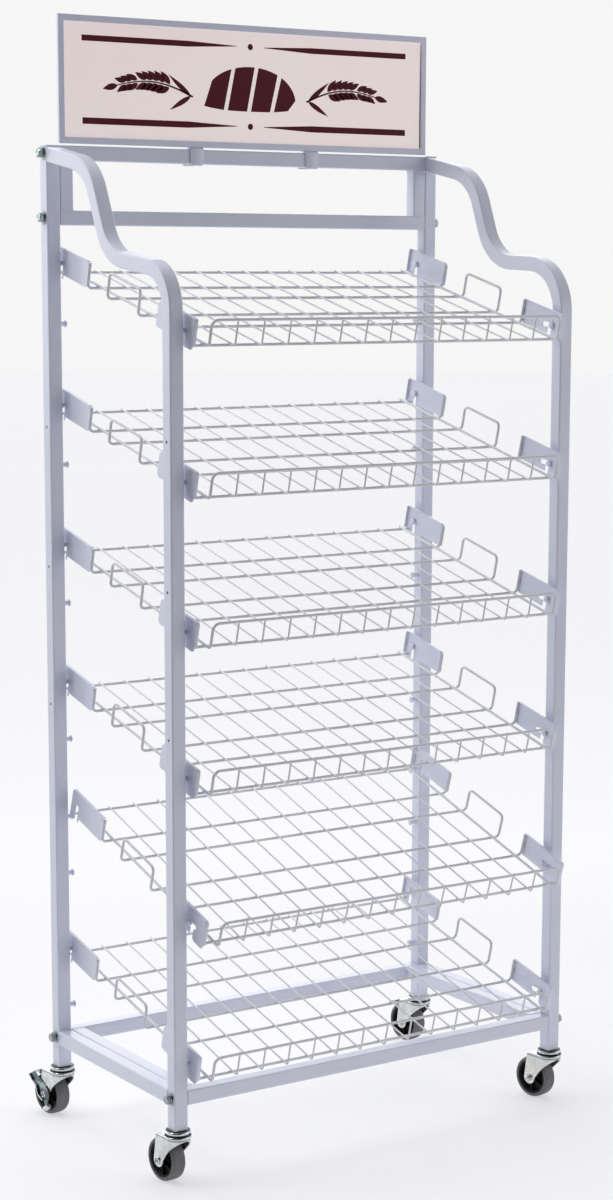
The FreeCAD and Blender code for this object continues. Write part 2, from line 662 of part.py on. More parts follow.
    # six ribs on each face of the web
    rib = sketch(hub, "XY_Plane", "ribs")
    for n in range(6):
        c, s_ = math.cos(n * 60 * deg), math.sin(n * 60 * deg)
        pts = [(8.6, -1.0), (28.2, -1.0), (28.2, 1.0), (8.6, 1.0)]
        polygon(rib, [(px * c - py * s_, px * s_ + py * c) for px, py in pts])
    pad(hub, rib, 18.0, symmetric=True, name="rib_pad")
    hub.Placement = pose.multiply(Placement(Vector(0, TR, RW), spin))
    keep(name + "hub", hub)

    tyre = body(name + "tyre")
    sk = sketch(tyre, "XZ_Plane", "tyre_profile")
    pts = [(hr + 0.0, -ww + 1.2), (hr + 1.6, -ww), (RW - 4.2, -ww), (RW - 1.6, -ww + 1.2),
           (RW - 0.4, -ww + 3.6), (RW, -ww + 7.0), (RW, ww - 7.0), (RW - 0.4, ww - 3.6),
           (RW - 1.6, ww - 1.2), (RW - 4.2, ww), (hr + 1.6, ww), (hr + 0.0, ww - 1.2)]
    polygon(sk, pts)
    revolve(tyre, sk)
    tyre.Placement = pose.multiply(Placement(Vector(0, TR, RW), spin))
    keep(name + "tyre", tyre)

    if corner.startswith("rear"):
        # brake lever: side plate with an eye round the axle's end, pedal behind
        # and over the wheel, and a turned-out tab at its lower end
        lever = body(name + "brake")
        wo = FO + 0.6                          # inner face of the side plate
        sk = sketch(lever, "YZ_Plane", "lever_profile",
                    Placement(Vector(0, 0, out * (wo + D["brakeSheet"] / 2.0)), Rotation()))
        c = Vector(TR, RW, 0)
        rear_edge = [(70.0, 67.0), (59.0, 57.0), (48.0, 50.0), (46.0, 42.0), (42.0, 34.0), (29.5, 27.0)]
        pts = rear_edge[::-1] + [(58.0, 75.0), (40.0, 64.5), (24.0, 55.0), (15.0, 47.5), (13.0, 38.0),
                                 (15.5, 29.0), (19.5, 22.0), (13.5, 11.0), (16.0, 9.4), (26.5, 19.0)]
        polygon(sk, pts)
        circle(sk, 6.6, None, (TR, RW))
        pad(lever, sk, D["brakeSheet"], "Dims.brakeSheet", symmetric=True, name="plate")
        # pedal, across the back of the wheel
        y_mid, z_mid = TR + 32.0, RW + 34.0
        ang = math.atan2(37.5 - 30.5, 38.0 - 26.0) / deg
        sk = sketch(lever, "YZ_Plane", "pedal_profile",
                    Placement(Vector(y_mid, z_mid, out * 0.0), Rotation(Vector(0, 0, 1), -ang)))
        rectangle(sk, 24.0, 2.2)
        pedal = pad(lever, sk, 2 * (wo + D["brakeSheet"]), symmetric=True, name="pedal")
        # rear edge of the plate turned outwards
        inner = [(69.0, 68.6), (57.9, 58.5), (46.5, 51.2), (44.3, 42.5), (40.7, 35.3), (28.7, 28.6)]
        sk = sketch(lever, "YZ_Plane", "edge_profile",
                    Placement(Vector(0, 0, out * (wo + D["brakeSheet"] + 2.0)), Rotation()))
        polygon(sk, rear_edge + inner[::-1])
        pad(lever, sk, 4.6, symmetric=True, name="edge")
        # turned-out tab
        sk = sketch(lever, "YZ_Plane", "tab_profile",
                    Placement(Vector(17.0, 16.6, out * (wo + 5.5)), Rotation(Vector(0, 0, 1), 62)))
        rectangle(sk, 13.0, 2.0)
        pad(lever, sk, 11.0, symmetric=True, name="tab")
        # shoe under the pedal, facing the tread
        sk = sketch(lever, "YZ_Plane", "shoe_profile",
                    Placement(Vector(y_mid - 6.0, z_mid - 0.5, 0), Rotation(Vector(0, 0, 1), -52)))
        rectangle(sk, 9.0, 4.0)
        pad(lever, sk, 16.0, symmetric=True, name="shoe")
        lever.Placement = pose
        keep(name + "brake", lever)

# --------------------------------------------------------------------- shelves
# Shelf coordinates: own x across, own y towards the rear along the deck,
# own z square to the deck; the middle cross wire's centre line is y = z = 0.
RT, RN = D["wireThick"] / 2.0, D["wireThin"] / 2.0
CROSS = [172.8, 68.4, 0.0, -105.4, -175.2, -282.0]


def wire(points, radii, radius):
    # round wire along straight runs with tangent bends
    edges = []
    length = 0.0
    for piece in rounded(points, radii):
        if piece[0] == "line":
            edges.append(Part.LineSegment(piece[1], piece[2]).toShape())
        else:
            edges.append(Part.Arc(piece[1], piece[2], piece[3]).toShape())
        length += edges[-1].Length
    spine = Part.Wire(edges)
    start = Vector(*points[0])
    direction = Vector(*points[1]) - start
    profile = Part.Wire([Part.makeCircle(radius, start, direction)])
    solid = spine.makePipeShell([profile], True, False)
    want = math.pi * radius ** 2 * length
    if abs(solid.Volume - want) > 0.01 * want:
        raise RuntimeError("wire volume off: %.1f against %.1f" % (solid.Volume, want))
    return solid


def straight(x0, x1, y, z, radius):
    return Part.makeCylinder(radius, x1 - x0, Vector(x0, y, z), Vector(1, 0, 0))


LP, GH = D["loopHalf"], D["gridHalf"]
PI = D["plateInner"]
turned = PI - RT                               # centre line of the turned-up ends
frame_wires = [
    straight(-PI, PI, CROSS[0], 0.0, RT),
    straight(-PI, PI, CROSS[5], 0.0, RT),
]
for y in (CROSS[1], CROSS[4]):
    frame_wires.append(wire([(-turned, y, D["plateTop"] - 2.0), (-turned, y, 0), (turned, y, 0),
                             (turned, y, D["plateTop"] - 2.0)], [8.0, 8.0], RT))
for sx in (-1, 1):
    # half of the middle ring: cross wire, side loop, cross wire
    frame_wires.append(wire([(0, CROSS[2], 0), (sx * LP, CROSS[2], 0),
                             (sx * LP, CROSS[2], D["loopTall"]),
                             (sx * LP, CROSS[3], D["loopTall"]),
                             (sx * LP, CROSS[3], 0), (0, CROSS[3], 0)],
                            [8.0, 9.0, 9.0, 8.0], RT))
LR, LT = -D["lipReach"], D["lipTall"]
over = 2 * RT
frame_wires.append(wire([(-GH, CROSS[0] + 4.0, over), (-GH, LR, over), (-GH, LR, LT),
                         (GH, LR, LT), (GH, LR, over), (GH, CROSS[0] + 4.0, over)],
                        [6.0, 12.0, 12.0, 6.0], RT))
grid_wires = []
for n in range(-6, 7):
    x = n * D["wirePitch"]
    grid_wires.append(wire([(x, CROSS[0] + 4.0, RT + RN), (x, LR + RT + RN, RT + RN),
                            (x, LR + RT + RN, LT + 1.0)], [4.0], RN))

# hanger plates: rear left, then its mirror; front left, then its mirror
PT, TB = D["plateTop"], -D["tongue"]
SO = D["studOver"]


def plate(outline, slot, name):
    # a flat plate in the body's own YZ plane, 0 .. plateThick along its own X
    b = body(name)
    sk = sketch(b, "YZ_Plane", "outline")
    polygon(sk, outline)
    p = pad(b, sk, D["plateThick"], "Dims.plateThick", name="sheet")
    sk = sketch(b, "YZ_Plane", "slot")
    polygon(sk, slot)
    pocket(b, sk, 20.0, name="slot_cut")
    return b


def rounded_outline(points, radii, steps=5):
    # corners replaced by short chords of the given radius
    out = []
    n = len(points)
    for i in range(n):
        p, c, q = Vector(*points[i - 1], 0), Vector(*points[i], 0), Vector(*points[(i + 1) % n], 0)
        r = radii[i]
        if not r:
            out.append((c.x, c.y))
            continue
        u, v = (p - c).normalize(), (q - c).normalize()
        half = u.getAngle(v) / 2.0
        centre = c + (u + v).normalize() * (r / math.sin(half))
        a = c + u * (r / math.tan(half)) - centre
        b = c + v * (r / math.tan(half)) - centre
        total = a.getAngle(b)
        for k in range(steps + 1):
            t = k / float(steps)
            w = (a * math.sin((1 - t) * total) + b * math.sin(t * total)) * (1.0 / math.sin(total))
            out.append((centre.x + w.x, centre.y + w.y))
    return out


yb, yf = D["studBack"], -D["studFront"]
sl = D["slotHalf"]
rear_in, rear_out = CROSS[1] - RT, 183.8
front_in, front_out = CROSS[4] + RT, -290.2
rear_line = rounded_outline(
    [(rear_in, 1.0), (yb - sl - 3.0, 1.0), (yb - sl - 3.0, TB), (rear_out, TB), (rear_out, PT),
     (rear_in, PT)], [6.0, 0, 0, 6.0, 4.0, 4.0])
top = SO + D["studShank"] / 2.0 + 0.2
rear_slot = [(yb - sl, TB - 5.0), (yb + sl, TB - 5.0)]
for k in range(9):
    a = k * math.pi / 8.0
    rear_slot.append((yb + sl * math.cos(a), top - sl * 0.8 + sl * 0.8 * math.sin(a)))
front_line = rounded_outline(
    [(front_in, 1.0), (front_in, PT), (front_out, PT), (front_out, TB), (-264.0, TB),
     (-256.5, -1.5), (-256.5, 1.0)], [6.0, 4.0, 4.0, 6.0, 3.0, 0, 0])
# the front slot: an obround from the stud's seat back to the tilted seat, and a neck down
seat, tilted = Vector(yf, SO, 0), Vector(-236.0, 15.1, 0)
along = (tilted - seat).normalize()
across = Vector(-along.y, along.x, 0)
hs = D["studShank"] / 2.0 + 0.2
front_slot = []
for k in range(9):
    a = math.pi / 2 + k * math.pi / 8.0
    w = seat + along * (hs * math.cos(a)) + across * (hs * math.sin(a))
    front_slot.append((w.x, w.y))
neck_a, neck_b = -257.5, -247.0
low = front_slot[-1]


def under(y):
    # lower edge of the obround at a given y
    t = (y - seat.x) / along.x
    w = seat + along * t - across * hs
    return w.y


front_slot.append((neck_a, under(neck_a)))
front_slot += [(neck_a, TB - 5.0), (neck_b, TB - 5.0), (neck_b, under(neck_b) - 2.0),
               (neck_b + 1.5, under(neck_b + 1.5))]
for k in range(9):
    a = -math.pi / 2 + k * math.pi / 8.0
    w = tilted + along * (hs * math.cos(a)) + across * (hs * math.sin(a))
    front_slot.append((w.x, w.y))

rear_plate = plate(rear_line, rear_slot, "rear_plate_master")
front_plate = plate(front_line, front_slot, "front_plate_master")
FW, FT = D["flangeWide"], D["plateThick"]


def flange(owner, wide, tall, y, z, name):
    # a strip standing inwards from the sheet (towards the body's own +X)
    sk = sketch(owner, "YZ_Plane", name, Placement(Vector(y, z, 0), Rotation()))
    rectangle(sk, wide, tall)
    return pad(owner, sk, FW, "Dims.flangeWide", name=name + "_pad")


flange(rear_plate, rear_out - rear_in - 8.0, FT, (rear_out + rear_in) / 2.0, PT - FT / 2.0, "top")
flange(rear_plate, FT, PT + 6.0 - 12.0, rear_out - FT / 2.0, (PT + TB) / 2.0 + 0.6, "edge")
flange(front_plate, front_in - front_out - 8.0, FT, (front_out + front_in) / 2.0, PT - FT / 2.0, "top")
flange(front_plate, FT, PT + 6.0 - 12.0, front_out + FT / 2.0, (PT + TB) / 2.0 + 0.6, "edge")

plates = []
for master in (rear_plate, front_plate):
    # the left plates' sheet lies outside their flanges
    s = master.Shape.copy()
    s.translate(Vector(-PI - D["plateThick"], 0, 0))
    m = s.mirror(Vector(0, 0, 0), Vector(1, 0, 0))
    plates += s.Solids + m.Solids

# tilt, and the place of the middle cross wire
seats = {}
tilt = math.degrees(math.atan2(D["studRise"], 2 * PY))
for n in range(1, 7):
    z_stud = D["studLow"] + (6 - n) * D["shelfPitch"]
    if n == 5:
        # set steeper: the rear plates' tongues stand on the upper rear studs
        span = math.hypot(2 * PY, D["studRise"])
        drop = tilted.y - (TB - D["studShank"] / 2.0 - 0.12)
        ang = tilt + math.degrees(math.asin(drop / span))
        ys, zs = tilted.x, tilted.y
    else:
        ang, ys, zs = tilt, yf, SO
    ca, sa = math.cos(ang * deg), math.sin(ang * deg)
    y0 = -PY - (ys * ca - zs * sa)
    z0 = z_stud - (ys * sa + zs * ca)
    seats[n] = (y0, z0, ang)
    pose = Placement(Vector(0, y0, z0), Rotation(Vector(1, 0, 0), ang))
    for tag, solids in (("grid", grid_wires), ("frame", frame_wires), ("hangers", plates)):
        obj = doc.addObject("Part::Feature", "shelf_%d_%s" % (n, tag))
        obj.Shape = Part.makeCompound([q.copy() for q in solids])
        obj.Placement = pose
        keep("shelf_%d_%s" % (n, tag), obj)

# ------------------------------------------------------------------------ sign
SW, ST, SD = D["signWide"], D["signTall"], D["signDeep"]
SF = D["signFace"]
yc = IY + SD / 2.0
frame = body("sign_frame")
sk = sketch(frame, "XZ_Plane", "sign_outline")
rectangle(sk, SW, ST, "Dims.signWide", "Dims.signTall")
rectangle(sk, SW - 2 * SF, ST - 2 * SF, "Dims.signWide - 2 * Dims.signFace",
          "Dims.signTall - 2 * Dims.signFace")
p = pad(frame, sk, SD, "Dims.signDeep", symmetric=True)
# groove for the card, open at the right-hand end
groove = sketch(frame, "XZ_Plane", "groove", Placement(Vector(10.0, 0, 0), Rotation()))
rectangle(groove, SW + 10.0 - 2 * (SF - 5.5) + 10.0, ST - 2 * (SF - 5.5))
pocket(frame, groove, D["cardThick"] + 0.5, expr="Dims.cardThick + 0.5")
at(frame, 0, yc, D["signLow"] + ST / 2.0, ez="Dims.signLow + Dims.signTall / 2")
keep("sign_frame", frame)

card = body("sign_card")
sk = sketch(card, "XZ_Plane", "card_outline")
rectangle(sk, SW - 2 * (SF - 5.0), ST - 2 * (SF - 5.0),
          "Dims.signWide - 2 * (Dims.signFace - 5)", "Dims.signTall - 2 * (Dims.signFace - 5)")
pad(card, sk, D["cardThick"], "Dims.cardThick", symmetric=True)
at(card, 0, yc, D["signLow"] + ST / 2.0, ez="Dims.signLow + Dims.signTall / 2")
keep("sign_card", card)

# saddle clip: web on the top rail under the sign, a leg down each face of the rail
clip = body("clip_master")
ct = D["clipSheet"]
sk = sketch(clip, "XZ_Plane", "clip_front")
leg_bottom, leg_top = 1682.8, D["signLow"]
cw = D["clipWide"]
polygon(sk, rounded_outline([(0, leg_top), (cw, leg_top), (cw, leg_bottom), (0, leg_bottom)],
                            [0, 0, 4.5, 4.5]))
p = pad(clip, sk, S + 2 * ct + 0.3, name="legs")
sk = sketch(clip, "YZ_Plane", "between_legs",
            Placement(Vector(-(S + 2 * ct + 0.3) / 2.0, D["postHead"] + 0.05 - 50.0, 0), Rotation()))
rectangle(sk, S + 0.3, 100.0)
pocket(clip, sk, 200.0, name="saddle")
group("sign_clips", clip,
      [Placement(Vector(x, PY + (S + 2 * ct + 0.3) / 2.0, 0), Rotation()) for x in (-126.0, 114.5)])

# ----------------------------------------------------------- check, then write
doc.recompute()
bad = []
for obj in doc.Objects:
    state = [str(q) for q in obj.State]
    if "Invalid" in state or "Error" in state:
        bad.append(obj.Name + " " + ",".join(state))
for name, obj in PARTS:
    shape = obj.Shape
    if shape.isNull() or not shape.isValid() or not shape.Solids:
        bad.append(name + " has no valid solid")
names = [n for n, _ in PARTS]
if len(set(names)) != len(names) or len(names) > 60:
    bad.append("node names: %d, %d different" % (len(names), len(set(names))))
if bad:
    raise RuntimeError("; ".join(bad))

os.makedirs("parts", exist_ok=True)
box = FreeCAD.BoundBox()
for name, obj in PARTS:
    obj.Shape.exportStep(os.path.join("parts", name + ".step"))
    box.add(obj.Shape.BoundBox)
    print("%-28s %3d solids %10.1f mm3" % (name, len(obj.Shape.Solids), obj.Shape.Volume))
print("nodes", len(PARTS))
print("box", [round(q, 2) for q in (box.XMin, box.YMin, box.ZMin, box.XMax, box.YMax, box.ZMax)])
for n in sorted(seats):
    print("shelf", n, [round(q, 3) for q in seats[n]])
for side in ("left", "right"):
    print("handrail corners", side, [(round(a, 2), round(b, 2)) for a, b in RAILS[side][1][1:4]])
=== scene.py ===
import bpy
import bmesh
import json
import math
import numpy as np
from mathutils import Matrix, Vector
from mathutils.geometry import tessellate_polygon

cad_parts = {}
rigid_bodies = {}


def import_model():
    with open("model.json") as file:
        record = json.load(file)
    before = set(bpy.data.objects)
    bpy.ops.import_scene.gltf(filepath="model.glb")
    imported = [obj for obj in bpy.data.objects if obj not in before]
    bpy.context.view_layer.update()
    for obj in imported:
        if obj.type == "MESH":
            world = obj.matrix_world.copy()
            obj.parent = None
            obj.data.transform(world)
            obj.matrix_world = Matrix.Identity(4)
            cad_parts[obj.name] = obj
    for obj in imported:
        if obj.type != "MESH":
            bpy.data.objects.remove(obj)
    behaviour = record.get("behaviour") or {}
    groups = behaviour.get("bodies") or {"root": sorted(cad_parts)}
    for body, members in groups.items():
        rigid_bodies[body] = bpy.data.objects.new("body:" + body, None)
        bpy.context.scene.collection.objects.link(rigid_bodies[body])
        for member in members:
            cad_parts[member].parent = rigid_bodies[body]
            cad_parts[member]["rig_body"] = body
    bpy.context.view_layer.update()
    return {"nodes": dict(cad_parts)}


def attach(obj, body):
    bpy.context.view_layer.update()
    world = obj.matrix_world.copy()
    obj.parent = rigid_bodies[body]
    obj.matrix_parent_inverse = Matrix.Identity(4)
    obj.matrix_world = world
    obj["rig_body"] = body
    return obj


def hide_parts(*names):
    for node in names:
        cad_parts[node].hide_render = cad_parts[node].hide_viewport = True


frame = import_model()
MM = 0.001

# Everything below is written in millimetres and turned into metres where a mesh
# is made: +Z up, floor at z = 0, front towards -Y.

# ------------------------------------------------------------ camera and lights
scene = bpy.context.scene
scene.view_settings.view_transform = "Standard"
scene.view_settings.look = "None"
scene.view_settings.exposure = 0.0
scene.view_settings.gamma = 1.0


def camera():
    yaw, pitch, roll = (math.radians(a) for a in (34.547, 9.288, 0.317))
    cy, sy, cp, sp = math.cos(yaw), math.sin(yaw), math.cos(pitch), math.sin(pitch)
    forward = Vector((sy * cp, cy * cp, -sp))
    right = Vector((cy, -sy, 0.0))
    up = right.cross(forward)
    r2 = right * math.cos(roll) + up * math.sin(roll)
    u2 = up * math.cos(roll) - right * math.sin(roll)
    data = bpy.data.cameras.new("camera")
    cam = bpy.data.objects.new("camera", data)
    scene.collection.objects.link(cam)
    m = Matrix.Identity(4)
    for i in range(3):
        m[i][0], m[i][1], m[i][2] = r2[i], u2[i], -forward[i]
    m[0][3], m[1][3], m[2][3] = -2.4346, -3.6965, 1.5280
    cam.matrix_world = m
    data.sensor_fit = "AUTO"
    data.sensor_width = 36.0
    data.lens = 2537.04 / 1200.0 * 36.0
    data.shift_x = (306.5 - 360.86) / 1200.0
    data.shift_y = (671.22 - 600.0) / 1200.0
    data.clip_start, data.clip_end = 0.05, 60.0
    scene.camera = cam
    return cam


camera()


def area_light(name, place, target, size, power, colour=(1, 1, 1), size_y=None, spread=None):
    data = bpy.data.lights.new(name, "AREA")
    data.shape = "RECTANGLE"
    data.size = size
    data.size_y = size_y or size
    data.energy = power
    data.color = colour
    if spread:
        data.spread = math.radians(spread)
    ob = bpy.data.objects.new(name, data)
    scene.collection.objects.link(ob)
    ob.location = place
    ob.rotation_euler = (Vector(target) - Vector(place)).to_track_quat("-Z", "Y").to_euler()
    return ob


# --------------------------------------------------------------------- materials
class Nodes:
    # small helper around one Principled material
    def __init__(self, name):
        self.mat = bpy.data.materials.new(name)
        self.mat.use_nodes = True
        self.tree = self.mat.node_tree
        self.tree.nodes.clear()
        self.out = self.tree.nodes.new("ShaderNodeOutputMaterial")
        self.p = self.tree.nodes.new("ShaderNodeBsdfPrincipled")
        self.link(self.p.outputs[0], self.out.inputs["Surface"])
        self.coords = self.tree.nodes.new("ShaderNodeTexCoord")

    def link(self, a, b):
        self.tree.links.new(a, b)

    def new(self, kind, **inputs):
        n = self.tree.nodes.new(kind)
        for k, v in inputs.items():
            n.inputs[k.replace("_", " ")].default_value = v
        return n

    def noise(self, scale, detail=2.0, rough=0.5, stretch=None):
        n = self.new("ShaderNodeTexNoise", Scale=scale, Detail=detail, Roughness=rough)
        src = self.coords.outputs["Object"]
        if stretch:
            m = self.tree.nodes.new("ShaderNodeMapping")
            m.inputs["Scale"].default_value = stretch
            self.link(src, m.inputs["Vector"])
            src = m.outputs[0]
        self.link(src, n.inputs["Vector"])
        return n.outputs["Fac"]

    def ramp(self, fac, *stops):
        n = self.tree.nodes.new("ShaderNodeValToRGB")
        els = n.color_ramp.elements
        while len(els) < len(stops):
            els.new(0.5)
        for e, (pos, col) in zip(els, stops):
            e.position = pos
            e.color = (*col, 1.0) if len(col) == 3 else col
        self.link(fac, n.inputs["Fac"])
        return n.outputs["Color"]

    def span(self, fac, lo, hi, a=0.0, b=1.0):
        n = self.tree.nodes.new("ShaderNodeMapRange")
        for i, v in ((1, a), (2, b), (3, lo), (4, hi)):
            n.inputs[i].default_value = v
        self.link(fac, n.inputs[0])
        return n.outputs[0]

    def height(self, lo, hi, soft):
        # 1 between two heights (m) on the piece, fading over soft
        z = self.tree.nodes.new("ShaderNodeSeparateXYZ")
        self.link(self.coords.outputs["Object"], z.inputs[0])
        return self.math("MULTIPLY", self.span(z.outputs[2], 0.0, 1.0, lo - soft, lo),
                         self.span(z.outputs[2], 1.0, 0.0, hi, hi + soft))

    def math(self, op, a, b):
        n = self.tree.nodes.new("ShaderNodeMath")
        n.operation = op
        for i, v in enumerate((a, b)):
            if isinstance(v, (int, float)):
                n.inputs[i].default_value = v
            else:
                self.link(v, n.inputs[i])
        return n.outputs[0]

    def mix(self, fac, a, b):
        n = self.tree.nodes.new("ShaderNodeMix")
        n.data_type = "RGBA"
        for sock, v in ((n.inputs[0], fac), (n.inputs[6], a), (n.inputs[7], b)):
            if isinstance(v, (int, float)):
                sock.default_value = v
            elif isinstance(v, tuple):
                sock.default_value = (*v, 1.0)
            else:
                self.link(v, sock)
        return n.outputs[2]

    def bump(self, height, distance, strength=1.0, into=None):
        n = self.tree.nodes.new("ShaderNodeBump")
        n.inputs["Strength"].default_value = strength
        n.inputs["Distance"].default_value = distance
        self.link(height, n.inputs["Height"])
        if into is not None:
            self.link(into, n.inputs["Normal"])
        return n.outputs[0]

    def set(self, **inputs):
        for k, v in inputs.items():
            s = self.p.inputs[k.replace("_", " ")]
            if isinstance(v, bpy.types.NodeSocket):
                self.link(v, s)
            elif isinstance(v, tuple) and len(v) == 3:
                s.default_value = (*v, 1.0)
            else:
                s.default_value = v
        return self.mat


def powder(name, base, dusty, rough, peel):
    # satin powder coat: orange-peel skin, faint cloudiness with a little dust-grey tone in it
    n = Nodes(name)
    cloud = n.noise(9.0, 4.0, 0.6)
    fine = n.noise(240.0, 2.0, 0.5)
    tone = n.ramp(cloud, (0.30, dusty), (0.62, base))
    speck = n.noise(900.0, 1.0, 0.5)
    colour = n.mix(n.span(speck, 0.0, 0.10, 0.62, 0.80), tone, tuple(c * 0.80 for c in base))
    r = n.span(n.math("ADD", n.math("MULTIPLY", fine, 0.5), n.math("MULTIPLY", cloud, 0.5)),
               rough - 0.05, rough + 0.08, 0.3, 0.7)
    skin = n.bump(n.noise(520.0, 1.0, 0.4), 0.00012 * peel, 0.35)
    skin = n.bump(n.noise(95.0, 1.0, 0.4), 0.0006 * peel, 0.22, skin)
    return n.set(Base_Color=colour, Roughness=r, Normal=skin, Coat_Weight=0.32,
                 Coat_Roughness=0.12, Specular_IOR_Level=0.5)


M_COAT = powder("powder_coat", (0.695, 0.715, 0.835), (0.660, 0.682, 0.805), 0.32, 1.0)
M_WIRE = powder("wire_coat", (0.685, 0.688, 0.722), (0.640, 0.643, 0.680), 0.36, 0.6)


def zinc(name, base, warm, rough, depth=0.72, seam_shade=(), metal=1.0, shade_and_highlight_bands=()):
    # bright zinc plate: cloudy passivation, faint yellow and blue bloom, fine grain, and painted
    # shade: near-black bands at given heights where parts meet, for the shadow in the seams and partly grease
    n = Nodes(name)
    cloud = n.noise(55.0, 5.0, 0.62)
    fleck = n.noise(260.0, 4.0, 0.7)
    bloom = n.noise(24.0, 2.0, 0.5)
    a = n.ramp(cloud, (0.32, tuple(c * depth for c in base)), (0.66, base))
    a = n.mix(n.span(fleck, 0.0, 0.75, 0.50, 0.68), a, tuple(c * depth * 0.86 for c in base))
    colour = n.mix(n.span(bloom, 0.0, 0.6, 0.48, 0.70), a, warm)
    r = n.span(cloud, rough + 0.12, rough - 0.04, 0.3, 0.7)
    # painted shade and painted highlight: each band turns the colour darker or lighter between two heights
    for lo, hi, soft, tone in shade_and_highlight_bands:
        colour = n.mix(n.math("MULTIPLY", n.height(lo, hi, soft), 0.8), colour, tone)
    # painted shade: each band darkens the colour towards near-black, for the shadow in a seam and partly for grease
    for lo, hi, soft, weight in seam_shade:
        m = n.math("MULTIPLY", n.height(lo, hi, soft), weight)
        colour = n.mix(m, colour, (0.012, 0.013, 0.015))
        r = n.math("ADD", r, n.math("MULTIPLY", m, 0.35))
    skin = n.bump(n.noise(420.0, 3.0, 0.6), 0.00006, 0.5)
    return n.set(Base_Color=colour, Metallic=metal, Roughness=r, Normal=skin)


# heights (m), fade and strength of painted shade bands on the swivel head: the gaps between disc and cup, under the
# post's foot and under the raceway plate
SEAM_SHADE = ((0.0873, 0.0896, 0.0003, 1.0), (0.0957, 0.0972, 0.0003, 0.85), (0.0810, 0.0825, 0.0003, 0.85))
# the fork's band is painted shade along its top bend under the raceway plate
M_ZINC = zinc("zinc_plate", (0.78, 0.81, 0.80), (0.74, 0.73, 0.66), 0.24, 0.70, ((0.0806, 0.0822, 0.0003, 0.55),))
M_RING = zinc("zinc_turned", (0.66, 0.70, 0.72), (0.62, 0.63, 0.60), 0.12, 0.82, SEAM_SHADE)
# painted shade: the lever's zinc is a dark teal copy standing for its shaded, dark-reflecting side plate; the band at
# 30-45 mm is darker painted shade, the band at 51.5-57 mm a painted highlight
M_LEVER_SHADED = zinc("zinc_lever_shaded", (0.20, 0.255, 0.27), (0.24, 0.27, 0.26), 0.20, 0.66,
               shade_and_highlight_bands=((0.0300, 0.0450, 0.004, (0.085, 0.110, 0.120)), (0.0515, 0.0570, 0.0035, (0.40, 0.48, 0.50))))
# painted highlight: near-white, part-metallic zinc so the rolled edge and the tab read bright
M_EDGE_LIT = zinc("zinc_edge_lit", (0.93, 0.95, 0.95), (0.92, 0.91, 0.87), 0.40, 0.90, metal=0.7)
# painted shade: the bolts' zinc is darkened, standing for dark reflections on heads and washers
M_BOLT = zinc("zinc_bolt", (0.40, 0.46, 0.48), (0.36, 0.38, 0.33), 0.15)


def rubber():
    n = Nodes("grey_tread")
    cloud = n.noise(40.0, 5.0, 0.65)
    scuff = n.noise(60.0, 6.0, 0.7, (1.0, 1.0, 6.0))
    a = n.ramp(cloud, (0.30, (0.112, 0.112, 0.117)), (0.70, (0.158, 0.156, 0.162)))
    colour = n.mix(n.span(scuff, 0.0, 0.35, 0.60, 0.78), a, (0.21, 0.205, 0.20))
    skin = n.bump(n.noise(700.0, 2.0, 0.5), 0.00008, 0.5)
    return n.set(Base_Color=colour, Roughness=n.span(scuff, 0.48, 0.66, 0.35, 0.7), Normal=skin,
                 Specular_IOR_Level=0.4)


def plastic():
    n = Nodes("black_hub")
    cloud = n.noise(60.0, 4.0, 0.6)
    colour = n.ramp(cloud, (0.30, (0.007, 0.007, 0.008)), (0.75, (0.017, 0.017, 0.019)))
    skin = n.bump(n.noise(600.0, 2.0, 0.5), 0.00006, 0.4)
    return n.set(Base_Color=colour, Roughness=n.span(cloud, 0.40, 0.58, 0.3, 0.7), Normal=skin,
                 Specular_IOR_Level=0.16)


def card():
    n = Nodes("sign_card")
    cloud = n.noise(3.2, 3.0, 0.5)
    grain = n.noise(420.0, 3.0, 0.6)
    a = n.ramp(cloud, (0.30, (0.835, 0.745, 0.735)), (0.72, (0.885, 0.810, 0.790)))
    colour = n.mix(n.span(grain, 0.0, 0.25, 0.52, 0.75), a, (0.80, 0.72, 0.70))
    skin = n.bump(grain, 0.00004, 0.4)
    # painted light: a faint warm emission makes the card glow, brighter than the frame around it
    return n.set(Base_Color=colour, Roughness=n.span(cloud, 0.42, 0.55, 0.3, 0.7), Normal=skin,
                 Emission_Color=(0.96, 0.80, 0.77), Emission_Strength=0.34)


def board_back():
    # unprinted back of the card: grey pulp board
    n = Nodes("card_back")
    cloud = n.noise(6.0, 4.0, 0.6)
    fibre = n.noise(180.0, 4.0, 0.7, (1.0, 1.0, 3.0))
    a = n.ramp(cloud, (0.30, (0.385, 0.375, 0.360)), (0.72, (0.440, 0.430, 0.415)))
    colour = n.mix(n.span(fibre, 0.0, 0.5, 0.50, 0.75), a, (0.32, 0.31, 0.295))
    return n.set(Base_Color=colour, Roughness=n.span(cloud, 0.72, 0.86, 0.3, 0.7),
                 Normal=n.bump(fibre, 0.00006, 0.4), Specular_IOR_Level=0.2)


def ink():
    n = Nodes("maroon_film")
    cloud = n.noise(18.0, 4.0, 0.6)
    colour = n.ramp(cloud, (0.30, (0.088, 0.007, 0.016)), (0.72, (0.112, 0.012, 0.024)))
    skin = n.bump(n.noise(500.0, 2.0, 0.5), 0.00004, 0.4)
    return n.set(Base_Color=colour, Roughness=n.span(cloud, 0.44, 0.58, 0.3, 0.7), Normal=skin,
                 Specular_IOR_Level=0.14)


def strip():
    # painted shadow: near-black sheet for the shade in the gap at the card's right edge
    n = Nodes("painted_gap_shadow")
    cloud = n.noise(50.0, 4.0, 0.6)
    colour = n.ramp(cloud, (0.30, (0.016, 0.014, 0.017)), (0.72, (0.030, 0.026, 0.030)))
    return n.set(Base_Color=colour, Roughness=n.span(cloud, 0.45, 0.62, 0.3, 0.7),
                 Normal=n.bump(cloud, 0.0001, 0.4))


M_TREAD, M_HUB, M_CARD, M_INK, M_GAP_SHADOW = rubber(), plastic(), card(), ink(), strip()
M_BOARD = board_back()


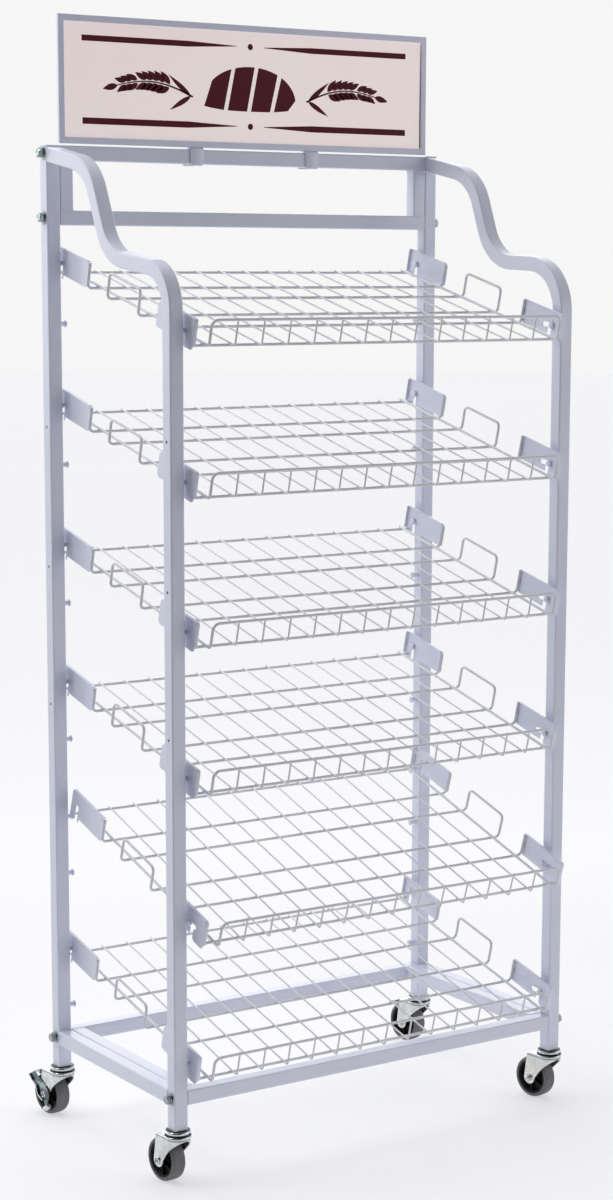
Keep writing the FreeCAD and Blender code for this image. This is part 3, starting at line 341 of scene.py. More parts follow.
# ------------------------------------------------------------------ mesh builder
class Build:
    # gathers vertices (mm) and faces; faces may carry a material index
    def __init__(self):
        self.v, self.f, self.m = [], [], []

    def add(self, verts, faces, mat=0):
        k = len(self.v)
        self.v.extend([tuple(float(c) for c in p) for p in verts])
        self.f.extend([tuple(k + i for i in f) for f in faces])
        self.m.extend([mat] * len(faces))

    def place(self, other, matrix=None, flip=False, mat=None):
        pts = np.array(other.v, float)
        if matrix is not None:
            a = np.array(matrix, float)
            pts = pts @ a[:3, :3].T + a[:3, 3]
            flip = flip != (np.linalg.det(a[:3, :3]) < 0)
        k = len(self.v)
        self.v.extend(map(tuple, pts))
        self.f.extend([tuple(k + i for i in (reversed(f) if flip else f)) for f in other.f])
        self.m.extend(other.m if mat is None else [mat] * len(other.f))

    def mesh(self, name, mats, smooth=38.0):
        me = bpy.data.meshes.new(name)
        me.from_pydata([(x * MM, y * MM, z * MM) for x, y, z in self.v], [], self.f)
        for m in mats:
            me.materials.append(m)
        me.polygons.foreach_set("material_index", self.m)
        me.update()
        bm = bmesh.new()
        bm.from_mesh(me)
        bmesh.ops.recalc_face_normals(bm, faces=bm.faces)
        bm.to_mesh(me)
        bm.free()
        me.shade_smooth()
        me.set_sharp_from_angle(angle=math.radians(smooth))
        return me

    def object(self, name, mats, body, slot=None, replaces=(), matrix=None, smooth=38.0):
        return piece(name, self.mesh(name, mats, smooth), body, replaces, matrix)


def piece(name, me, body, replaces=(), matrix=None):
    # an object at the origin, its place in its mesh
    me = me.copy()
    me.name = name
    if matrix is not None:
        me.transform(matrix)
        me.update()
    ob = bpy.data.objects.new(name, me)
    scene.collection.objects.link(ob)
    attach(ob, body)
    if replaces:
        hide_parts(*replaces)
    return ob


def evaluated(me, kind, smooth, **settings):
    # the mesh with one modifier applied
    ob = bpy.data.objects.new("work", me)
    scene.collection.objects.link(ob)
    mod = ob.modifiers.new("work", kind)
    for k, v in settings.items():
        setattr(mod, k, v)
    bpy.context.view_layer.update()
    dg = bpy.context.evaluated_depsgraph_get()
    new = bpy.data.meshes.new_from_object(ob.evaluated_get(dg), depsgraph=dg)
    bpy.data.objects.remove(ob)
    new.shade_smooth()
    new.set_sharp_from_angle(angle=math.radians(smooth))
    return new


def carved(me, tool, smooth=38.0):
    # one mesh cut by another builder's solids
    cut = bpy.data.objects.new("cutter", tool.mesh("cutter", []))
    scene.collection.objects.link(cut)
    new = evaluated(me, "BOOLEAN", smooth, operation="DIFFERENCE", solver="EXACT", object=cut)
    bpy.data.objects.remove(cut)
    return new


def softened(me, width, segments=2, limit=50.0, smooth=42.0):
    # small round-over on a sheet's edges
    return evaluated(me, "BEVEL", smooth, width=width * MM, segments=segments, limit_method="ANGLE",
                     angle_limit=math.radians(limit), harden_normals=False, miter_outer="MITER_ARC")


def V(*a):
    return np.array(a, float)


def unit(a):
    return a / np.linalg.norm(a)


def rounded(points, radii, step=9.0):
    # centre line through straight runs and tangent arcs, arcs divided every `step` degrees
    pts = [V(*p) for p in points]
    out = [pts[0]]
    for i in range(1, len(pts) - 1):
        p, c, q = pts[i - 1], pts[i], pts[i + 1]
        u, v = unit(p - c), unit(q - c)
        half = math.acos(max(-1.0, min(1.0, float(u @ v)))) / 2.0
        r = radii[i - 1]
        a, b = c + u * (r / math.tan(half)), c + v * (r / math.tan(half))
        centre = c + unit(u + v) * (r / math.sin(half))
        turn = math.pi - 2 * half
        n = max(2, int(math.ceil(math.degrees(turn) / step)))
        e1, e2 = unit(a - centre), None
        w = b - centre
        e2 = unit(w - e1 * (w @ e1))
        for k in range(n + 1):
            t = turn * k / n
            out.append(centre + (e1 * math.cos(t) + e2 * math.sin(t)) * r)
    out.append(pts[-1])
    clean = [out[0]]
    for p in out[1:]:
        if np.linalg.norm(p - clean[-1]) > 1e-6:
            clean.append(p)
    return clean


def tangents(path):
    t = []
    for i in range(len(path)):
        a = path[max(0, i - 1)]
        b = path[min(len(path) - 1, i + 1)]
        if 0 < i < len(path) - 1:
            d = unit(path[i] - a) + unit(b - path[i])
        else:
            d = b - a
        t.append(unit(d))
    return t


def rod(b, path, radius, sides=14, ends=True, mat=0):
    # round bar along a path, its ends slightly rounded over
    t = tangents(path)
    ref = V(0, 0, 1) if abs(t[0][2]) < 0.9 else V(1, 0, 0)
    n = unit(np.cross(t[0], ref))
    stations = []
    for i, p in enumerate(path):
        if i:
            n = n - t[i] * (n @ t[i])
            n = unit(n)
        stations.append((p, n, np.cross(t[i], n), radius))
    if ends:
        p, n0, m0, r = stations[0]
        stations[0] = (p + t[0] * 0.35 * radius, n0, m0, r)
        stations.insert(0, (p + t[0] * 0.10 * radius, n0, m0, r * 0.90))
        stations.insert(0, (p, n0, m0, r * 0.62))
        p, n1, m1, r = stations[-1]
        stations[-1] = (p - t[-1] * 0.35 * radius, n1, m1, r)
        stations.append((p - t[-1] * 0.10 * radius, n1, m1, r * 0.90))
        stations.append((p, n1, m1, r * 0.62))
    verts, faces = [], []
    ring = [(math.cos(2 * math.pi * k / sides), math.sin(2 * math.pi * k / sides)) for k in range(sides)]
    for p, a, c, r in stations:
        verts.extend([p + (a * x + c * y) * r for x, y in ring])
    for i in range(len(stations) - 1):
        for k in range(sides):
            l = (k + 1) % sides
            faces.append((i * sides + k, i * sides + l, (i + 1) * sides + l, (i + 1) * sides + k))
    faces.append(tuple(reversed(range(sides))))
    last = (len(stations) - 1) * sides
    faces.append(tuple(range(last, last + sides)))
    b.add(verts, faces, mat)


def blob(b, centre, ex, ey, ez, rings=5, sides=8, mat=0):
    # small rounded drop of weld, half axes as vectors
    verts = [centre + ez]
    for i in range(1, rings):
        a = math.pi * i / rings
        for k in range(sides):
            t = 2 * math.pi * k / sides
            verts.append(centre + ez * math.cos(a) + (ex * math.cos(t) + ey * math.sin(t)) * math.sin(a))
    verts.append(centre - ez)
    faces = [(0, 1 + k, 1 + (k + 1) % sides) for k in range(sides)]
    for i in range(rings - 2):
        for k in range(sides):
            a0, a1 = 1 + i * sides + k, 1 + i * sides + (k + 1) % sides
            faces.append((a0, a0 + sides, a1 + sides, a1))
    last = len(verts) - 1
    base = 1 + (rings - 2) * sides
    faces += [(last, base + (k + 1) % sides, base + k) for k in range(sides)]
    b.add(verts, faces, mat)


def lathe(b, profile, sides=48, matrix=None, mat=0):
    # closed profile of (radius, height) turned about Z; points at radius 0 become poles
    part = Build()
    verts, index = [], []
    for r, z in profile:
        if r < 1e-6:
            index.append([len(verts)] * sides)
            verts.append((0, 0, z))
        else:
            index.append(list(range(len(verts), len(verts) + sides)))
            verts.extend([(r * math.cos(2 * math.pi * k / sides), r * math.sin(2 * math.pi * k / sides), z)
                          for k in range(sides)])
    faces = []
    n = len(profile)
    for i in range(n):
        a, c = index[i], index[(i + 1) % n]
        for k in range(sides):
            l = (k + 1) % sides
            f = []
            for q in (a[k], a[l], c[l], c[k]):
                if q not in f:
                    f.append(q)
            if len(f) >= 3:
                faces.append(tuple(f))
    part.add(verts, faces, mat)
    b.place(part, matrix)


def fill(loop):
    # triangles for one flat closed loop of 2D points
    return tessellate_polygon([[Vector((p[0], p[1], 0.0)) for p in loop]])


def prism(b, loop, to3d, depth, bevel=0.0, mat=0, holes=()):
    # flat outline (and holes) with thickness along its own third axis, from 0 to depth; small edge bevel
    layers = []
    for number, outline in enumerate([loop] + list(holes)):
        n = len(outline)
        pts = [V(*p) for p in outline]
        area = sum(pts[i][0] * pts[(i + 1) % n][1] - pts[(i + 1) % n][0] * pts[i][1] for i in range(n))
        if (area < 0) == (number == 0):
            pts.reverse()
        if bevel:
            inner = []
            for i in range(n):
                a, c, d = pts[i - 1], pts[i], pts[(i + 1) % n]
                u, w = unit(c - a), unit(d - c)
                nu, nw = V(-u[1], u[0]), V(-w[1], w[0])
                m = unit(nu + nw)
                inner.append(c + m * (bevel / max(0.5, float(m @ nu))))
            layers.append([(inner, 0.0), (pts, bevel), (pts, depth - bevel), (inner, depth)])
        else:
            layers.append([(pts, 0.0), (pts, depth)])
    verts, faces, first, last = [], [], [], []
    for stack in layers:
        n = len(stack[0][0])
        k0 = len(verts)
        verts += [to3d(p[0], p[1], h) for ring, h in stack for p in ring]
        for i in range(len(stack) - 1):
            for k in range(n):
                l = (k + 1) % n
                faces.append((k0 + i * n + k, k0 + i * n + l, k0 + (i + 1) * n + l, k0 + (i + 1) * n + k))
        first += list(range(k0, k0 + n))
        last += list(range(k0 + (len(stack) - 1) * n, k0 + len(stack) * n))
    for end, ids, turn in ((0, first, True), (-1, last, False)):
        loops = [[Vector((p[0], p[1], 0.0)) for p in stack[end][0]] for stack in layers]
        for t in tessellate_polygon(loops):
            t = tuple(ids[q] for q in t)
            faces.append(tuple(reversed(t)) if turn else t)
    b.add(verts, faces, mat)


def corners(points, radii, steps=6):
    # outline with rounded corners, as (x, y) points
    out = []
    n = len(points)
    for i in range(n):
        p, c, q = V(*points[i - 1]), V(*points[i]), V(*points[(i + 1) % n])
        r = radii[i]
        if not r:
            out.append(c)
            continue
        u, v = unit(p - c), unit(q - c)
        half = math.acos(max(-1.0, min(1.0, float(u @ v)))) / 2.0
        centre = c + unit(u + v) * (r / math.sin(half))
        a, e = c + u * (r / math.tan(half)) - centre, c + v * (r / math.tan(half)) - centre
        total = math.pi - 2 * half
        for k in range(steps + 1):
            t = k / steps
            out.append(centre + (a * math.sin((1 - t) * total) + e * math.sin(t * total)) / math.sin(total))
    return out


# -------------------------------------------------------------------- frame tubes
S, WALL, CORNER = 25.4, 1.6, 2.6
HX, HY = 406.4, 216.4
PX, PY, IX, IY = HX - S / 2, HY - S / 2, HX - S, HY - S


def section(half, r, steps=5, guard=0.5):
    # rounded square; a guard point beside each corner keeps the flats flat in shading
    pts = []
    for cx, cy, a0 in ((1, 1, 0), (-1, 1, 90), (-1, -1, 180), (1, -1, 270)):
        c0, s0 = math.cos(math.radians(a0)), math.sin(math.radians(a0))
        px, py = cx * (half - r), cy * (half - r)
        if guard:
            pts.append((px + r * c0 + guard * s0, py + r * s0 - guard * c0))
        for k in range(steps + 1):
            a = math.radians(a0 + 90.0 * k / steps)
            pts.append((px + r * math.cos(a), py + r * math.sin(a)))
        if guard:
            pts.append((px - r * s0 - guard * c0, py + r * c0 - guard * s0))
    return pts


OUTER = section(S / 2, CORNER)
INNER = section(S / 2 - WALL, CORNER - WALL + 0.4)


def square_tube(b, path, side, nip=0.5, nip_ends=(True, True), plane_ends=None):
    # hollow square tube along a path that bends in the plane square to `side`
    side = unit(V(*side))
    path = [V(*p) for p in path]
    t = tangents(path)
    rings = []
    for i, p in enumerate(path):
        up = np.cross(t[i], side)
        stretch = 1.0
        if 0 < i < len(path) - 1:
            u = unit(path[i] - path[i - 1])
            stretch = 1.0 / max(0.3, float(u @ t[i]))
        rings.append((p, up * stretch, 1.0))
    n = len(OUTER)
    verts, faces = [], []

    def ring(shape, p, up, scale_by=0.0):
        k = 1.0 - scale_by / (S / 2)
        return [p + side * (x * k) + up * (y * k) for x, y in shape]

    stations = []                               # (outer ring, inner ring)
    for i, (p, up, _) in enumerate(rings):
        first, last = i == 0, i == len(rings) - 1
        if first and nip and nip_ends[0]:
            stations.append(ring(OUTER, p, up, nip))
            stations.append(ring(OUTER, p + t[0] * nip, up))
        elif last and nip and nip_ends[1]:
            stations.append(ring(OUTER, p - t[-1] * nip, up))
            stations.append(ring(OUTER, p, up, nip))
        else:
            stations.append(ring(OUTER, p, up))
    m = len(stations)
    for r in stations:
        verts.extend(r)
    inner_path = [rings[0]] + rings[1:-1] + [rings[-1]]
    for p, up, _ in inner_path:
        verts.extend(ring(INNER, p, up))
    q = len(inner_path)
    for i in range(m - 1):
        for k in range(n):
            l = (k + 1) % n
            faces.append((i * n + k, (i + 1) * n + k, (i + 1) * n + l, i * n + l))
    base = m * n
    for i in range(q - 1):
        for k in range(n):
            l = (k + 1) % n
            faces.append((base + i * n + k, base + i * n + l, base + (i + 1) * n + l, base + (i + 1) * n + k))
    for k in range(n):
        l = (k + 1) % n
        faces.append((k, l, base + l, base + k))
        a, c = (m - 1) * n, base + (q - 1) * n
        faces.append((a + k, c + k, c + l, a + l))
    b.add(verts, faces)


def drilled(me, holes):
    # round holes through the mesh: (centre, direction, radius, depth) in mm
    tool = Build()
    for c, d, r, depth in holes:
        d = unit(V(*d))
        a = unit(np.cross(d, V(0, 0, 1) if abs(d[2]) < 0.9 else V(1, 0, 0)))
        e = np.cross(d, a)
        m = Matrix.Identity(4)
        for i in range(3):
            m[i][0], m[i][1], m[i][2], m[i][3] = a[i], e[i], d[i], c[i]
        lathe(tool, [(0, -depth / 2), (r, -depth / 2), (r, depth / 2), (0, depth / 2)], 24, m)
    return carved(me, tool)


def bead(b, path, radius, closed=True, seed=0):
    # weld bead under the paint: rippled round ridge along a path
    pts = [V(*p) for p in path]
    if closed:
        pts = pts + [pts[0]]
    fine = []
    for i in range(len(pts) - 1):
        d = pts[i + 1] - pts[i]
        n = max(1, int(round(np.linalg.norm(d) / 1.3)))
        fine += [pts[i] + d * (k / n) for k in range(n)]
    fine.append(pts[-1])
    sides = 8
    t = tangents(fine)
    verts, faces = [], []
    ref = None
    for i, p in enumerate(fine):
        if ref is None:
            ref = unit(np.cross(t[i], V(0.31, 0.55, 0.77)))
        ref = unit(ref - t[i] * (ref @ t[i]))
        c = np.cross(t[i], ref)
        r = radius * (1.0 + 0.13 * math.sin(i * 1.9 + seed) + 0.07 * math.sin(i * 0.53 + seed * 1.7))
        if i in (0, len(fine) - 1):
            r *= 0.5
        verts.extend([p + (ref * math.cos(2 * math.pi * k / sides) + c * math.sin(2 * math.pi * k / sides)) * r
                      for k in range(sides)])
    for i in range(len(fine) - 1):
        for k in range(sides):
            l = (k + 1) % sides
            faces.append((i * sides + k, i * sides + l, (i + 1) * sides + l, (i + 1) * sides + k))
    faces.append(tuple(reversed(range(sides))))
    last = (len(fine) - 1) * sides
    faces.append(tuple(range(last, last + sides)))
    b.add(verts, faces)


HOLES = [753.8 + 241.0 * i for i in range(3)]
BOLT_Z = 150.7
TOPS = (1697.7, 1589.7)
# each side's handrail: corners of its centre line, its bends, and the slope of its rear run
RAILS = {-1: ([(-203.7, 97.0), (-203.7, 1503.13), (-10.34, 1524.82), (56.75, 1672.03), (191.0, 1694.5)],
              [68.0, 85.0, 85.0], 9.5),
         1: ([(-203.7, 97.0), (-203.7, 1514.27), (-6.3, 1520.65), (54.73, 1671.33), (191.0, 1697.0)],
             [83.0, 90.5, 90.5], 10.67)}

for tag, sx in (("left", -1), ("right", 1)):
    x = sx * PX
    # rear post
    b = Build()
    square_tube(b, [(x, PY, 97.0), (x, PY, 1710.4)], (1, 0, 0))
    me = drilled(b.mesh("rear_post", [M_COAT]), [((sx * HX, PY, z), (1, 0, 0), 2.5, 8.0) for z in HOLES]
                 + [((x, PY, z), (1, 0, 0), 5.0, 60.0) for z in (BOLT_Z,) + TOPS])
    piece("rear_post_%s_coated" % tag, me, "rack", ["rear_post_" + tag])
    # front post and handrail in one tube
    b = Build()
    line = rounded([(x, y, z) for y, z in RAILS[sx][0]], RAILS[sx][1], 3.2)
    square_tube(b, line, (1, 0, 0), nip_ends=(True, False))
    me = drilled(b.mesh("front_post", [M_COAT]), [((sx * HX, -PY, z), (1, 0, 0), 2.5, 8.0) for z in HOLES]
                 + [((x, -PY, BOLT_Z), (1, 0, 0), 5.0, 60.0)])
    piece("front_post_%s_coated" % tag, me, "rack", ["front_post_" + tag])


def on_body(node):
    return frame["nodes"][node]["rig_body"]


def frame_matrix(x, y, z, right, up=(0, 0, 1)):
    # matrix in mm whose own +Z points along `right`
    d = unit(V(*right))
    a = unit(np.cross(V(*up), d))
    e = np.cross(d, a)
    m = Matrix.Identity(4)
    for i in range(3):
        m[i][0], m[i][1], m[i][2] = a[i], e[i], d[i]
    m[0][3], m[1][3], m[2][3] = x, y, z
    return m


# ---- rails: the welded ones meet their neighbours square, the bolted ones keep a fine seam
for tag, sx in (("left", -1), ("right", 1)):
    b = Build()
    square_tube(b, [(sx * PX, -IY, BOLT_Z), (sx * PX, IY, BOLT_Z)], (1, 0, 0), nip=0)
    b.object("side_rail_%s_coated" % tag, [M_COAT], "rack", "powder_coat", ["side_rail_" + tag])
    b = Build()
    square_tube(b, [(sx * (IX - S / 2), -IY, BOLT_Z), (sx * (IX - S / 2), IY, BOLT_Z)], (1, 0, 0), nip=0)
    b.object("base_rail_%s_coated" % tag, [M_COAT], "rack", "powder_coat", ["base_rail_" + tag])
for node, y, z in (("base_rail_front", -PY, BOLT_Z), ("base_rail_rear", PY, BOLT_Z),
                   ("top_rail_upper", PY, TOPS[0]), ("top_rail_lower", PY, TOPS[1])):
    b = Build()
    square_tube(b, [(-IX, y, z), (IX, y, z)], (0, 0, 1), nip=0.6)
    b.object(node + "_coated", [M_COAT], "rack", "powder_coat", [node])
b = Build()
for sx in (-1, 1):
    x = sx * (IX - S / 2)
    square_tube(b, [(x, PY, TOPS[1] + S / 2), (x, PY, TOPS[0] - S / 2)], (1, 0, 0), nip=0)
b.object("top_uprights_coated", [M_COAT], "rack", "powder_coat", ["top_uprights"])

# ---- weld beads, painted over
b = Build()
seed = 0.0


def loop_points(half_a, half_b, sink, r=2.6):
    # rounded loop in two axes; sink draws in the sides listed as -a +a -b +b
    la, ha, lb, hb = -half_a + sink[0], half_a - sink[1], -half_b + sink[2], half_b - sink[3]
    pts = []
    for cx, cy, a0 in ((ha - r, hb - r, 0), (la + r, hb - r, 90), (la + r, lb + r, 180), (ha - r, lb + r, 270)):
        for k in range(4):
            a = math.radians(a0 + 30.0 * k)
            pts.append((cx + r * math.cos(a), cy + r * math.sin(a)))
    return pts


H2 = S / 2
for sx in (-1, 1):
    out_sink = (0.75, -0.35) if sx < 0 else (-0.35, 0.75)
    for y in (-IY, IY):
        seed += 1.3
        # side rail to post: flush on the outer side
        pts = loop_points(H2, H2, (*out_sink, -0.3, -0.3))
        bead(b, [(sx * PX + p, y, BOLT_Z + q) for p, q in pts], 1.5, True, seed)
        # inner rail to cross rail: flush above and below
        pts = loop_points(H2, H2, (-0.3, -0.3, 0.75, 0.75))
        bead(b, [(sx * (IX - H2) + p, y, BOLT_Z + q) for p, q in pts], 1.5, True, seed + 0.6)
    # handrail's end on the rear post
    pts = loop_points(H2, H2 / math.cos(math.radians(RAILS[sx][2])), (*out_sink, -0.3, -0.3))
    bead(b, [(sx * PX + p, IY - 0.2, RAILS[sx][0][-1][1] + q) for p, q in pts], 1.7, True, seed + 2.1)
    # uprights between the top rails
    for z in (TOPS[1] + H2, TOPS[0] - H2):
        pts = loop_points(H2, H2, (-0.3, -0.3, 0.75, 0.75))
        bead(b, [(sx * (IX - H2) + p, PY + q, z) for p, q in pts], 1.4, True, seed + 2.9)
    # cap in the post's head
    pts = loop_points(11.05, 11.05, (0, 0, 0, 0), 1.6)
    bead(b, [(sx * PX + p, PY + q, 1709.7) for p, q in pts], 0.65, True, seed + 3.3)
b.object("frame_weld_beads", [M_COAT], "rack", "powder_coat", smooth=60)

b = Build()
for sx in (-1, 1):
    loop = section(11.05, 1.4, 4)
    prism(b, loop, lambda p, q, h, sx=sx: (sx * PX + p, PY + q, 1708.4 + h), 2.0, 0.35)
b.object("post_caps_plates", [M_COAT], "rack", "powder_coat", ["post_caps"])


# ---- bolts, washers and studs
def bolt(b, matrix, length=40.0, shank=4.75, across=14.3, tall=6.4):
    sides = 48
    flat = across / 2.0
    ring_c = 0.945 * flat
    part = Build()
    verts, faces, index = [], [], []

    def level(fr, fz):
        index.append(list(range(len(verts), len(verts) + sides)))
        for k in range(sides):
            t = 2 * math.pi * k / sides
            a = (t + math.pi / 6) % (math.pi / 3) - math.pi / 6
            hr = flat / math.cos(a)
            r = fr(hr)
            verts.append((r * math.cos(t), r * math.sin(t), fz(hr)))

    top = length + tall
    level(lambda h: shank - 0.9, lambda h: 0.0)
    level(lambda h: shank, lambda h: 0.9)
    level(lambda h: shank, lambda h: length)
    level(lambda h: ring_c, lambda h: length)
    level(lambda h: ring_c, lambda h: length + 0.35)
    level(lambda h: h, lambda h: length + 0.45)
    level(lambda h: h, lambda h: top - 0.35 - (h - ring_c) * 0.62)
    level(lambda h: ring_c, lambda h: top - 0.16)
    level(lambda h: ring_c - 0.45, lambda h: top)
    level(lambda h: 4.9, lambda h: top)
    level(lambda h: 4.2, lambda h: top - 0.45)
    for i in range(len(index) - 1):
        for k in range(sides):
            l = (k + 1) % sides
            faces.append((index[i][k], index[i][l], index[i + 1][l], index[i + 1][k]))
    faces.append(tuple(reversed(index[0])))
    faces.append(tuple(index[-1]))
    part.add(verts, faces)
    b.place(part, matrix)


def spring_washer(b, matrix, low, r0=5.0, r1=8.0, thick=2.4, gap=9.0):
    part = Build()
    n = 60
    sec = [(r0 + 0.3, 0), (r1 - 0.35, 0), (r1, 0.35), (r1, thick - 0.35), (r1 - 0.35, thick), (r0 + 0.3, thick),
           (r0, thick - 0.3), (r0, 0.3)]
    verts, faces = [], []
    for i in range(n + 1):
        f = i / n
        for r, z in sec:
            # the split is slanted, so its faces lean with height
            t = math.radians(gap / 2 + (360 - gap) * f + (z / thick - 0.5) * 8.0)
            verts.append((r * math.cos(t), r * math.sin(t), low + z))
    m = len(sec)
    for i in range(n):
        for k in range(m):
            l = (k + 1) % m
            faces.append((i * m + k, i * m + l, (i + 1) * m + l, (i + 1) * m + k))
    faces.append(tuple(reversed(range(m))))
    faces.append(tuple(range(n * m, n * m + m)))
    part.add(verts, faces)
    b.place(part, matrix)


BOLTS = [(-PY, BOLT_Z), (PY, BOLT_Z), (PY, TOPS[0]), (PY, TOPS[1])]
bb, bw = Build(), Build()
turn_by = 0.2
for y, z in BOLTS:
    for sx in (-1, 1):
        turn_by += 0.37
        m = frame_matrix(sx * HX, y, z, (sx, 0, 0)) @ Matrix.Rotation(turn_by, 4, "Z")
        bolt(bb, m @ Matrix.Translation((0, 0, 4.2 - 40.0)))
        lathe(bw, [(5.0, 0.25), (5.3, 0), (10.6, 0), (11.0, 0.35), (11.0, 1.35), (10.55, 1.8), (5.3, 1.8), (5.0, 1.5)],
              56, m)
        spring_washer(bw, m @ Matrix.Rotation(1.1 + turn_by * 2, 4, "Z"), 1.8)
bb.object("frame_bolts_forged", [M_BOLT], "rack", "zinc", ["frame_bolts"], smooth=25)
bw.object("frame_washers_pressed", [M_BOLT], "rack", "zinc", ["frame_washers"], smooth=30)

b = Build()
stud = Build()
lathe(stud, [(0, 0), (5.2, 0), (4.9, 0.5), (4.3, 0.9), (4.0, 1.6), (4.0, 11.6), (4.3, 12.0), (5.85, 12.0), (6.2, 12.3),
             (6.25, 12.9), (5.9, 13.5), (5.1, 14.05), (3.6, 14.4), (1.8, 14.5), (0, 14.5)], 28)
for i in range(6):
    z = 206.2 + 241.0 * i
    for y, h in ((-PY, z), (PY, z), (PY, z + 102.0)):
        for sx in (-1, 1):
            b.place(stud, frame_matrix(sx * IX, y, h, (-sx, 0, 0)))
b.object("hanger_studs_turned", [M_COAT], "rack", "powder_coat", ["hanger_studs"])

# ------------------------------------------------------------------------ shelves
# own x across, own y to the rear along the deck, own z square to the deck
RT, RN = 2.45, 1.6
CROSS = [172.8, 68.4, 0.0, -105.4, -175.2, -282.0]
PI_ = 371.95
GX = [50.0 * n for n in range(-6, 7)]


def shelf_wires():
    b = Build()
    for y in (CROSS[0], CROSS[5]):
        rod(b, [V(-PI_, y, 0), V(PI_, y, 0)], RT, 16)
    for y in (CROSS[1], CROSS[4]):
        rod(b, rounded([(-369.5, y, 43.3), (-369.5, y, 0), (369.5, y, 0), (369.5, y, 43.3)], [8.0, 8.0]), RT, 16)
    for sx in (-1, 1):
        rod(b, rounded([(0, CROSS[2], 0), (sx * 369, CROSS[2], 0), (sx * 369, CROSS[2], 44),
                        (sx * 369, CROSS[3], 44), (sx * 369, CROSS[3], 0), (0, CROSS[3], 0)],
                       [8.0, 9.0, 9.0, 8.0]), RT, 16)
    rod(b, rounded([(-350.6, 176.8, 4.9), (-350.6, -304, 4.9), (-350.6, -304, 47.5), (350.6, -304, 47.5),
                    (350.6, -304, 4.9), (350.6, 176.8, 4.9)], [6.0, 12.0, 12.0, 6.0]), RT, 16)
    for x in GX:
        rod(b, rounded([(x, 176.8, 4.05), (x, -299.95, 4.05), (x, -299.95, 48.5)], [4.0], 12.0), RN, 12)
    # resistance welds where wires cross
    k = 0
    for y in CROSS:
        for x in GX:
            k += 1
            w = 1.0 + 0.16 * math.sin(k * 2.3)
            blob(b, V(x, y, 2.25), V(2.5 * w, 0, 0), V(0, 2.6 * w, 0), V(0, 0, 1.35))
        for x in (-350.6, 350.6):
            blob(b, V(x, y, 2.45), V(2.9, 0, 0), V(0, 2.9, 0), V(0, 0, 1.3))
    for x in GX:
        k += 1
        w = 1.0 + 0.16 * math.sin(k * 1.7)
        blob(b, V(x, -301.6, 47.3), V(1.9 * w, 0, 0), V(0, 1.4, 0), V(0, 0, 2.3 * w))
    for sx in (-1, 1):
        for y in (CROSS[0], CROSS[5]):
            part = Build()
            lathe(part, [(2.3, 0), (4.1, 0), (3.5, 0.5), (2.9, 1.3), (2.45, 2.4), (2.3, 2.4)], 20)
            b.place(part, frame_matrix(sx * PI_, y, 0, (-sx, 0, 0)))
        for y in (CROSS[1], CROSS[4]):
            for z in (14.0, 34.0):
                for dy in (-2.0, 2.0):
                    blob(b, V(sx * 371.5, y + dy, z), V(1.2, 0, 0), V(0, 1.5, 0), V(0, 0, 6.0), 6, 8)
    return b


wires = shelf_wires()


def arc2(cx, cy, r, a0, a1, n):
    return [(cx + r * math.cos(math.radians(a0 + (a1 - a0) * k / n)),
             cy + r * math.sin(math.radians(a0 + (a1 - a0) * k / n))) for k in range(n + 1)]


def flanged(b, rim, rest, sx, outer=373.45, thick=1.5, deep=6.4):
    # pressed plate in own (y, z): `rim` is the part of the outline with a turned-in flange,
    # `rest` the remaining outline, both anticlockwise
    n = len(rim)
    P = [V(*p) for p in rim]
    N = []
    for i in range(n):
        ds = []
        if i:
            ds.append(unit(P[i] - P[i - 1]))
        if i < n - 1:
            ds.append(unit(P[i + 1] - P[i]))
        d = unit(sum(ds))
        N.append(V(-d[1], d[0]))
    ro, ri = 2.25, 0.75
    prof = [((2.8, 0.0), (2.8, thick)), ((ro, 0.0), (ro, thick))]
    for k in range(1, 7):
        a = math.radians(15.0 * k)
        prof.append(((ro - ro * math.sin(a), ro - ro * math.cos(a)), (ro - ri * math.sin(a), ro - ri * math.cos(a))))
    prof += [((0.0, deep - 0.35), (thick, deep - 0.35)), ((0.35, deep), (thick - 0.35, deep))]
    verts, faces = [], []

    def point(p, nrm, d, h):
        q = p + nrm * d
        return (sx * (outer - h), q[0], q[1])

    O, I = [], []
    for o, i_ in prof:
        O.append(list(range(len(verts), len(verts) + n)))
        verts.extend([point(P[i], N[i], *o) for i in range(n)])
        I.append(list(range(len(verts), len(verts) + n)))
        verts.extend([point(P[i], N[i], *i_) for i in range(n)])
    flat = [P[i] + N[i] * prof[0][0][0] for i in range(n)]
    tail = [V(*p) for p in rest]
    loop = flat + tail
    lo = O[0] + list(range(len(verts), len(verts) + len(tail)))
    verts.extend([(sx * outer, q[0], q[1]) for q in tail])
    hi = I[0] + list(range(len(verts), len(verts) + len(tail)))
    verts.extend([(sx * (outer - thick), q[0], q[1]) for q in tail])
    for t in fill(loop):
        faces.append(tuple(lo[q] for q in t))
        faces.append(tuple(hi[q] for q in reversed(t)))
    m = len(loop)
    for k in range(n - 1, m):
        l = (k + 1) % m
        faces.append((lo[k], hi[k], hi[l], lo[l]))
    for s in range(len(prof) - 1):
        for i in range(n - 1):
            faces.append((O[s][i], O[s][i + 1], O[s + 1][i + 1], O[s + 1][i]))
            faces.append((I[s][i], I[s + 1][i], I[s + 1][i + 1], I[s][i + 1]))
        for i in (0, n - 1):
            faces.append((O[s][i], O[s + 1][i], I[s + 1][i], I[s][i]))
    for i in range(n - 1):
        faces.append((O[-1][i], O[-1][i + 1], I[-1][i + 1], I[-1][i]))
    b.add(verts, faces)


